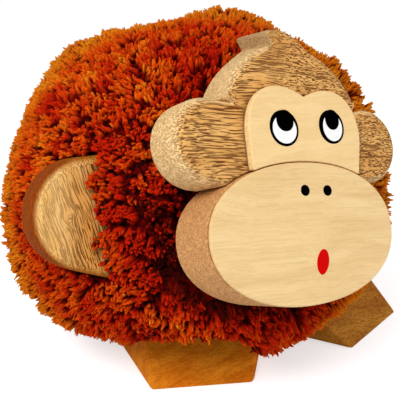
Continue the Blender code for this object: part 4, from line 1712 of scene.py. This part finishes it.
        # the points lie closer together towards the strand's end
        along = nodes.math("SINE", nodes.times(nodes.add("GeometryNodeSplineParameter").outputs["Factor"], math.pi / 2))
        named = nodes.store(steps, "rise", along)
        end = nodes.over(nodes.minus(along, g["Taper"]), nodes.minus(1.0, g["Taper"]), clamp=True)
        dome = nodes.math("SQRT", nodes.minus(1.0, nodes.times(nodes.times(end, end), g["Pointed"])))
        swell = nodes.blend(nodes.smooth(along, 0.0, 0.8), g["Foot"], 1.0)
        radius = nodes.times(nodes.times(dome, swell), g["Radius"])
        made = nodes.add("GeometryNodeJoinGeometry")
        for variant in range(self.variants):
            turn = self.variant_turn * variant
            curl = nodes.math("SINE", nodes.times(along, 2.2 + 0.5 * (variant % 3)))
            x = nodes.times(nodes.times(curl, math.cos(turn)), g["Bend"])
            y = nodes.times(nodes.times(nodes.times(along, along), math.sin(turn) * 1.2), g["Bend"])
            place = nodes.combine(x, y, nodes.times(along, g["Length"]))
            bent = nodes.add("GeometryNodeSetPosition", {"Geometry": named, "Position": place})
            tube = nodes.add("GeometryNodeCurveToMesh", {"Curve": bent.outputs[0], "Profile Curve": ring,
                                                         "Scale": radius, "Fill Caps": True})
            nodes.feed(made.inputs[0], nodes.add("GeometryNodeGeometryToInstance", {0: tube.outputs[0]}).outputs[0])
        return made.outputs[0]

    def strand_tree(self) -> bpy.types.NodeTree:
        """The tree that puts one bent strand on each root.

        Returns:
            A geometry tree with the strand's sizes as its inputs.
        """
        nodes, given, result = new_group(
            "yarn_strands", "GeometryNodeTree",
            [("Geometry", "Geometry", None), ("Length", "Float", 0.01), ("Radius", "Float", 0.0005),
             ("Bend", "Float", 0.001), ("Foot", "Float", 1.0), ("Taper", "Float", 0.5), ("Pointed", "Float", 0.8),
             ("Ruffle", "Float", 0.0005), ("Sides", "Int", 5), ("Points", "Int", 5), ("Seed", "Int", 1),
             ("Yarn", "Material", None)],
            [("Geometry", "Geometry")])
        g = given.outputs
        turned = nodes.add("FunctionNodeAlignRotationToVector", {"Vector": nodes.read("lean", "FLOAT_VECTOR")},
                           axis="Z")
        # a random number's highest value is input 3, and a random whole number's lowest and highest are 4 and 5
        spin = nodes.add("FunctionNodeRandomValue", {"Seed": g["Seed"], 3: 2 * math.pi}, data_type="FLOAT")
        pick = nodes.add("FunctionNodeRandomValue", {"Seed": g["Seed"], 4: 0, 5: self.variants - 1}, data_type="INT")
        about = nodes.add("FunctionNodeEulerToRotation", {0: nodes.combine(0.0, 0.0, spin.outputs[1])})
        both = nodes.add("FunctionNodeRotateRotation", {0: turned.outputs[0], 1: about.outputs[0]},
                         rotation_space="LOCAL")
        placed = nodes.add("GeometryNodeInstanceOnPoints",
                           {"Points": g["Geometry"], "Instance": self.bent_strands(nodes, g), "Pick Instance": True,
                            "Instance Index": pick.outputs[2], "Rotation": both.outputs[0],
                            "Scale": nodes.read("size", "FLOAT_VECTOR")}).outputs[0]
        toned = nodes.store(placed, "tone", nodes.read("shaded_tone"), domain="INSTANCE")
        real = nodes.add("GeometryNodeRealizeInstances", {0: toned})
        here = nodes.add("GeometryNodeInputPosition").outputs[0]
        rough = nodes.vector("SUBTRACT", nodes.noise(here, 600.0, 1.0, 0.6, colour=True), (0.5, 0.5, 0.5))
        shove = nodes.scaled(rough, nodes.times(g["Ruffle"], 3.0))
        ruffled = nodes.add("GeometryNodeSetPosition", {"Geometry": real.outputs[0], "Offset": shove})
        smooth = nodes.add("GeometryNodeSetShadeSmooth", {0: ruffled.outputs[0]})
        dyed = nodes.add("GeometryNodeSetMaterial", {"Geometry": smooth.outputs[0], "Material": g["Yarn"]})
        nodes.feed(result.inputs["Geometry"], dyed.outputs[0])
        return nodes.tree

    def sector(self, shape: StrandShape, index: int, ends: Strands, tree: bpy.types.NodeTree,
               yarn: bpy.types.Material) -> None:
        """Make the strands of one kind in one sector of the pile.

        Args:
            shape: which strands.
            index: the sector's number.
            ends: where they are.
            tree: the tree that makes them.
            yarn: their material.
        """
        roots, tips, tone = ends
        mesh = bpy.data.meshes.new(shape.name)
        mesh.from_pydata((roots * MM).tolist(), [], [])
        lean = tips - roots
        rng = np.random.default_rng(self.seed + index)
        thick = rng.uniform(0.8, 1.15, len(roots))
        size = np.stack([thick, thick, np.linalg.norm(lean, axis=1) / shape.length], axis=1)
        for title, vectors in (("lean", lean), ("size", size)):
            mesh.attributes.new(title, "FLOAT_VECTOR", "POINT").data.foreach_set("vector", vectors.ravel())
        write_floats(mesh, "shaded_tone", tone)
        item = new_object("%s_%d" % (shape.name, index + 1), mesh)
        grow = item.modifiers.new("strands", "NODES")
        grow.node_group = tree
        values = {"Length": shape.length * MM, "Radius": shape.radius * MM, "Bend": shape.bend * MM,
                  "Foot": shape.foot, "Taper": shape.taper, "Pointed": shape.pointed, "Ruffle": self.ruffle * MM,
                  "Sides": shape.sides, "Points": shape.points, "Seed": self.seed + index, "Yarn": yarn}
        for socket in tree.interface.items_tree:
            if socket.in_out == "INPUT" and socket.name in values:
                grow[socket.identifier] = values[socket.name]
        settle(item)
        dress(item, yarn, "body", "yarn", "yarn_pile")

    def ground_reach(self, way: np.ndarray) -> np.ndarray:
        """How far the ground reaches from the ball's middle each way, drawn in where wood is.

        Args:
            way: unit vectors.

        Returns:
            The reach each way, in millimetres.
        """
        middle = np.array([0.0, 0.0, self.height])
        step, least = 0.8, 12.0
        reach = np.linalg.norm(self.surface(way, self.sunk) - middle, axis=1)
        for _ in range(90):
            places = middle + way * reach[:, None]
            hit = self.in_wood(places, self.core.spare)
            hit |= to_frame(places, self.head.matrix())[:, 2] > self.seat - self.sunk
            if not hit.any():
                break
            reach = np.where(hit & (reach > least), reach - step, reach)
        return reach

    def ground(self, yarn: bpy.types.Material) -> None:
        """The hidden ball that the strands stand on, with room for the head, the arms and the feet.

        Args:
            yarn: its material.
        """
        rounds, levels = self.ground_rounds, self.ground_levels
        turn = np.linspace(0, 2 * math.pi, rounds, endpoint=False)
        rise = np.linspace(math.pi / 2, -math.pi / 2, levels + 1)[1:-1]
        way = [np.array([0.0, 0.0, 1.0])]
        way += [np.array([math.cos(r) * math.cos(t), math.cos(r) * math.sin(t), math.sin(r)])
                for r in rise for t in turn]
        way.append(np.array([0.0, 0.0, -1.0]))
        way = np.array(way)
        places = np.array([0.0, 0.0, self.height]) + way * self.ground_reach(way)[:, None]
        last = len(places) - 1
        faces = [[0, 1 + i, 1 + (i + 1) % rounds] for i in range(rounds)]
        for low in range(1, 1 + (levels - 2) * rounds, rounds):
            for i in range(rounds):
                j = (i + 1) % rounds
                faces.append([low + i, low + rounds + i, low + rounds + j, low + j])
        low = 1 + (levels - 2) * rounds
        faces += [[last, low + (i + 1) % rounds, low + i] for i in range(rounds)]
        mesh = bpy.data.meshes.new("yarn_ground")
        mesh.from_pydata((places * MM).tolist(), [], faces)
        mesh.shade_smooth()
        # a tone of -2 paints the hidden ground near black: painted shadow between the strands
        for title, value in (("rise", 0.0), ("tone", -2.0)):
            write_floats(mesh, title, np.full(len(places), value))
        dress(new_object("yarn_ground", mesh), yarn, "body", "yarn", "yarn_pile")

    def build(self) -> None:
        """Make the ground, then the cores and the fibres, each in a few pieces that go round the pile."""
        yarn = YarnFinish().material()
        self.ground(yarn)
        tree = self.strand_tree()
        for shape, (roots, tips, tone) in self.strands().items():
            order = np.argsort(np.arctan2(roots[:, 1], roots[:, 0]))
            for index, part in enumerate(np.array_split(order, shape.pieces)):
                self.sector(shape, index, (roots[part], tips[part], tone[part]), tree, yarn)


@dataclass
class HiddenWood:
    """The core, the peg and the dowels, which keep their solids and get their wood."""

    dowels: tuple[str, ...] = ("neck_peg", "muzzle_dowel_right", "muzzle_dowel_left", "arm_dowel_right",
                               "arm_dowel_left", "foot_dowel_right", "foot_dowel_left")

    def build(self, nodes: dict[str, bpy.types.Object]) -> None:
        """Give every hidden piece its material.

        Args:
            nodes: the frame's objects by name.
        """
        for name, finish in [("body_core", CORE_WOOD)] + [(name, DOWEL_WOOD) for name in self.dowels]:
            item = nodes[name]
            item.data.materials.clear()
            low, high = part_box(name)
            item.data.materials.append(finish.material(Matrix.Translation((low + high) / 2)))
            LOG.info("%s keeps its solid", name)


@dataclass(frozen=True)
class Lamp:
    """One soft square lamp."""

    name: str
    place: Point3
    size: float
    watts: float

    def build(self, aim: Point3) -> None:
        """Make the lamp, turned towards the place that it lights.

        Args:
            aim: the place that it lights, in millimetres.
        """
        data = bpy.data.lights.new(self.name, "AREA")
        data.shape = "SQUARE"
        data.size = self.size * MM
        data.energy = self.watts
        spot = Vector(self.place) * MM
        new_object(self.name, data, Matrix.Translation(spot) @ look_along(Vector(aim) * MM - spot))


@dataclass
class Studio:
    """The pale floor, the soft lamps and the camera at the photograph's angle."""

    camera_place: Point3 = (-129.2, -226.5, 156.2)
    look: Point3 = (0.468, 0.8107, -0.3518)
    roll: float = -0.8
    lens: float = 54.0
    sky: float = 0.55
    floor_glow: float = 0.55
    aim: Point3 = (0.0, 0.0, 70.0)
    lamps: tuple[Lamp, ...] = (Lamp("key", (-420.0, -260.0, 520.0), 260.0, 2.6),
                               Lamp("fill", (420.0, -520.0, 300.0), 320.0, 0.7))

    def camera(self) -> None:
        """Put the camera where the photograph was taken from."""
        data = bpy.data.cameras.new("camera")
        data.lens = self.lens
        data.sensor_width = 36.0
        data.clip_start = 0.01
        data.clip_end = 20.0
        place = shift(self.camera_place) @ look_along(Vector(self.look)) @ turn_by(self.roll, "Z")
        bpy.context.scene.camera = new_object("camera", data, place)

    def floor(self) -> None:
        """A wide pale floor that looks white and keeps the monkey's shadow."""
        bm = bmesh.new()
        bmesh.ops.create_grid(bm, x_segments=1, y_segments=1, size=4.0)
        mesh = bpy.data.meshes.new("floor")
        bm.to_mesh(mesh)
        bm.free()
        item = new_object("floor", mesh)
        made, nodes, shader = new_material("floor")
        for title, value in (("Base Color", (0.86, 0.86, 0.86, 1.0)), ("Roughness", 0.9), ("Specular IOR Level", 0.0),
                             ("Emission Color", (1.0, 1.0, 1.0, 1.0))):
            shader.inputs[title].default_value = value
        seen = nodes.add("ShaderNodeLightPath").outputs["Is Camera Ray"]
        nodes.feed(shader.inputs["Emission Strength"], nodes.times(seen, self.floor_glow))
        mesh.materials.append(made)

    def world(self) -> None:
        """Even light all round, and white where the camera or a gloss sees it."""
        made = bpy.data.worlds.new("studio")
        bpy.context.scene.world = made
        made.use_nodes = True
        nodes = Tree(made.node_tree)
        background = made.node_tree.nodes["Background"]
        background.inputs["Color"].default_value = (1.0, 1.0, 1.0, 1.0)
        path = nodes.add("ShaderNodeLightPath").outputs
        seen = nodes.math("MAXIMUM", path["Is Camera Ray"],
                          nodes.math("MAXIMUM", path["Is Glossy Ray"], path["Is Transmission Ray"]))
        nodes.feed(background.inputs["Strength"], nodes.blend(seen, self.sky, 1.0))

    def build(self) -> None:
        """Make the whole studio."""
        self.world()
        self.floor()
        for lamp in self.lamps:
            lamp.build(self.aim)
        self.camera()
        bpy.context.scene.view_settings.view_transform = "Standard"


def main() -> None:
    """Build the monkey's pieces in order, then the studio."""
    logging.basicConfig(level=logging.INFO, format="%(name)s: %(message)s")
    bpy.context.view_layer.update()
    arms = [Arm(side) for side in (Side.RIGHT, Side.LEFT)]
    feet = [Foot(Side.RIGHT, inner_room=0.0, inner_drop=5.0), Foot(Side.LEFT, finish=SHADED_FOOT_WOOD)]
    Muzzle().build()
    Head().build()
    PaintedFace().build()
    for piece in arms + feet:
        piece.build()
    HiddenWood().build(frame["nodes"])
    YarnPile(arms, feet).build()
    Studio().build()


if __name__ == "__main__":
    main()
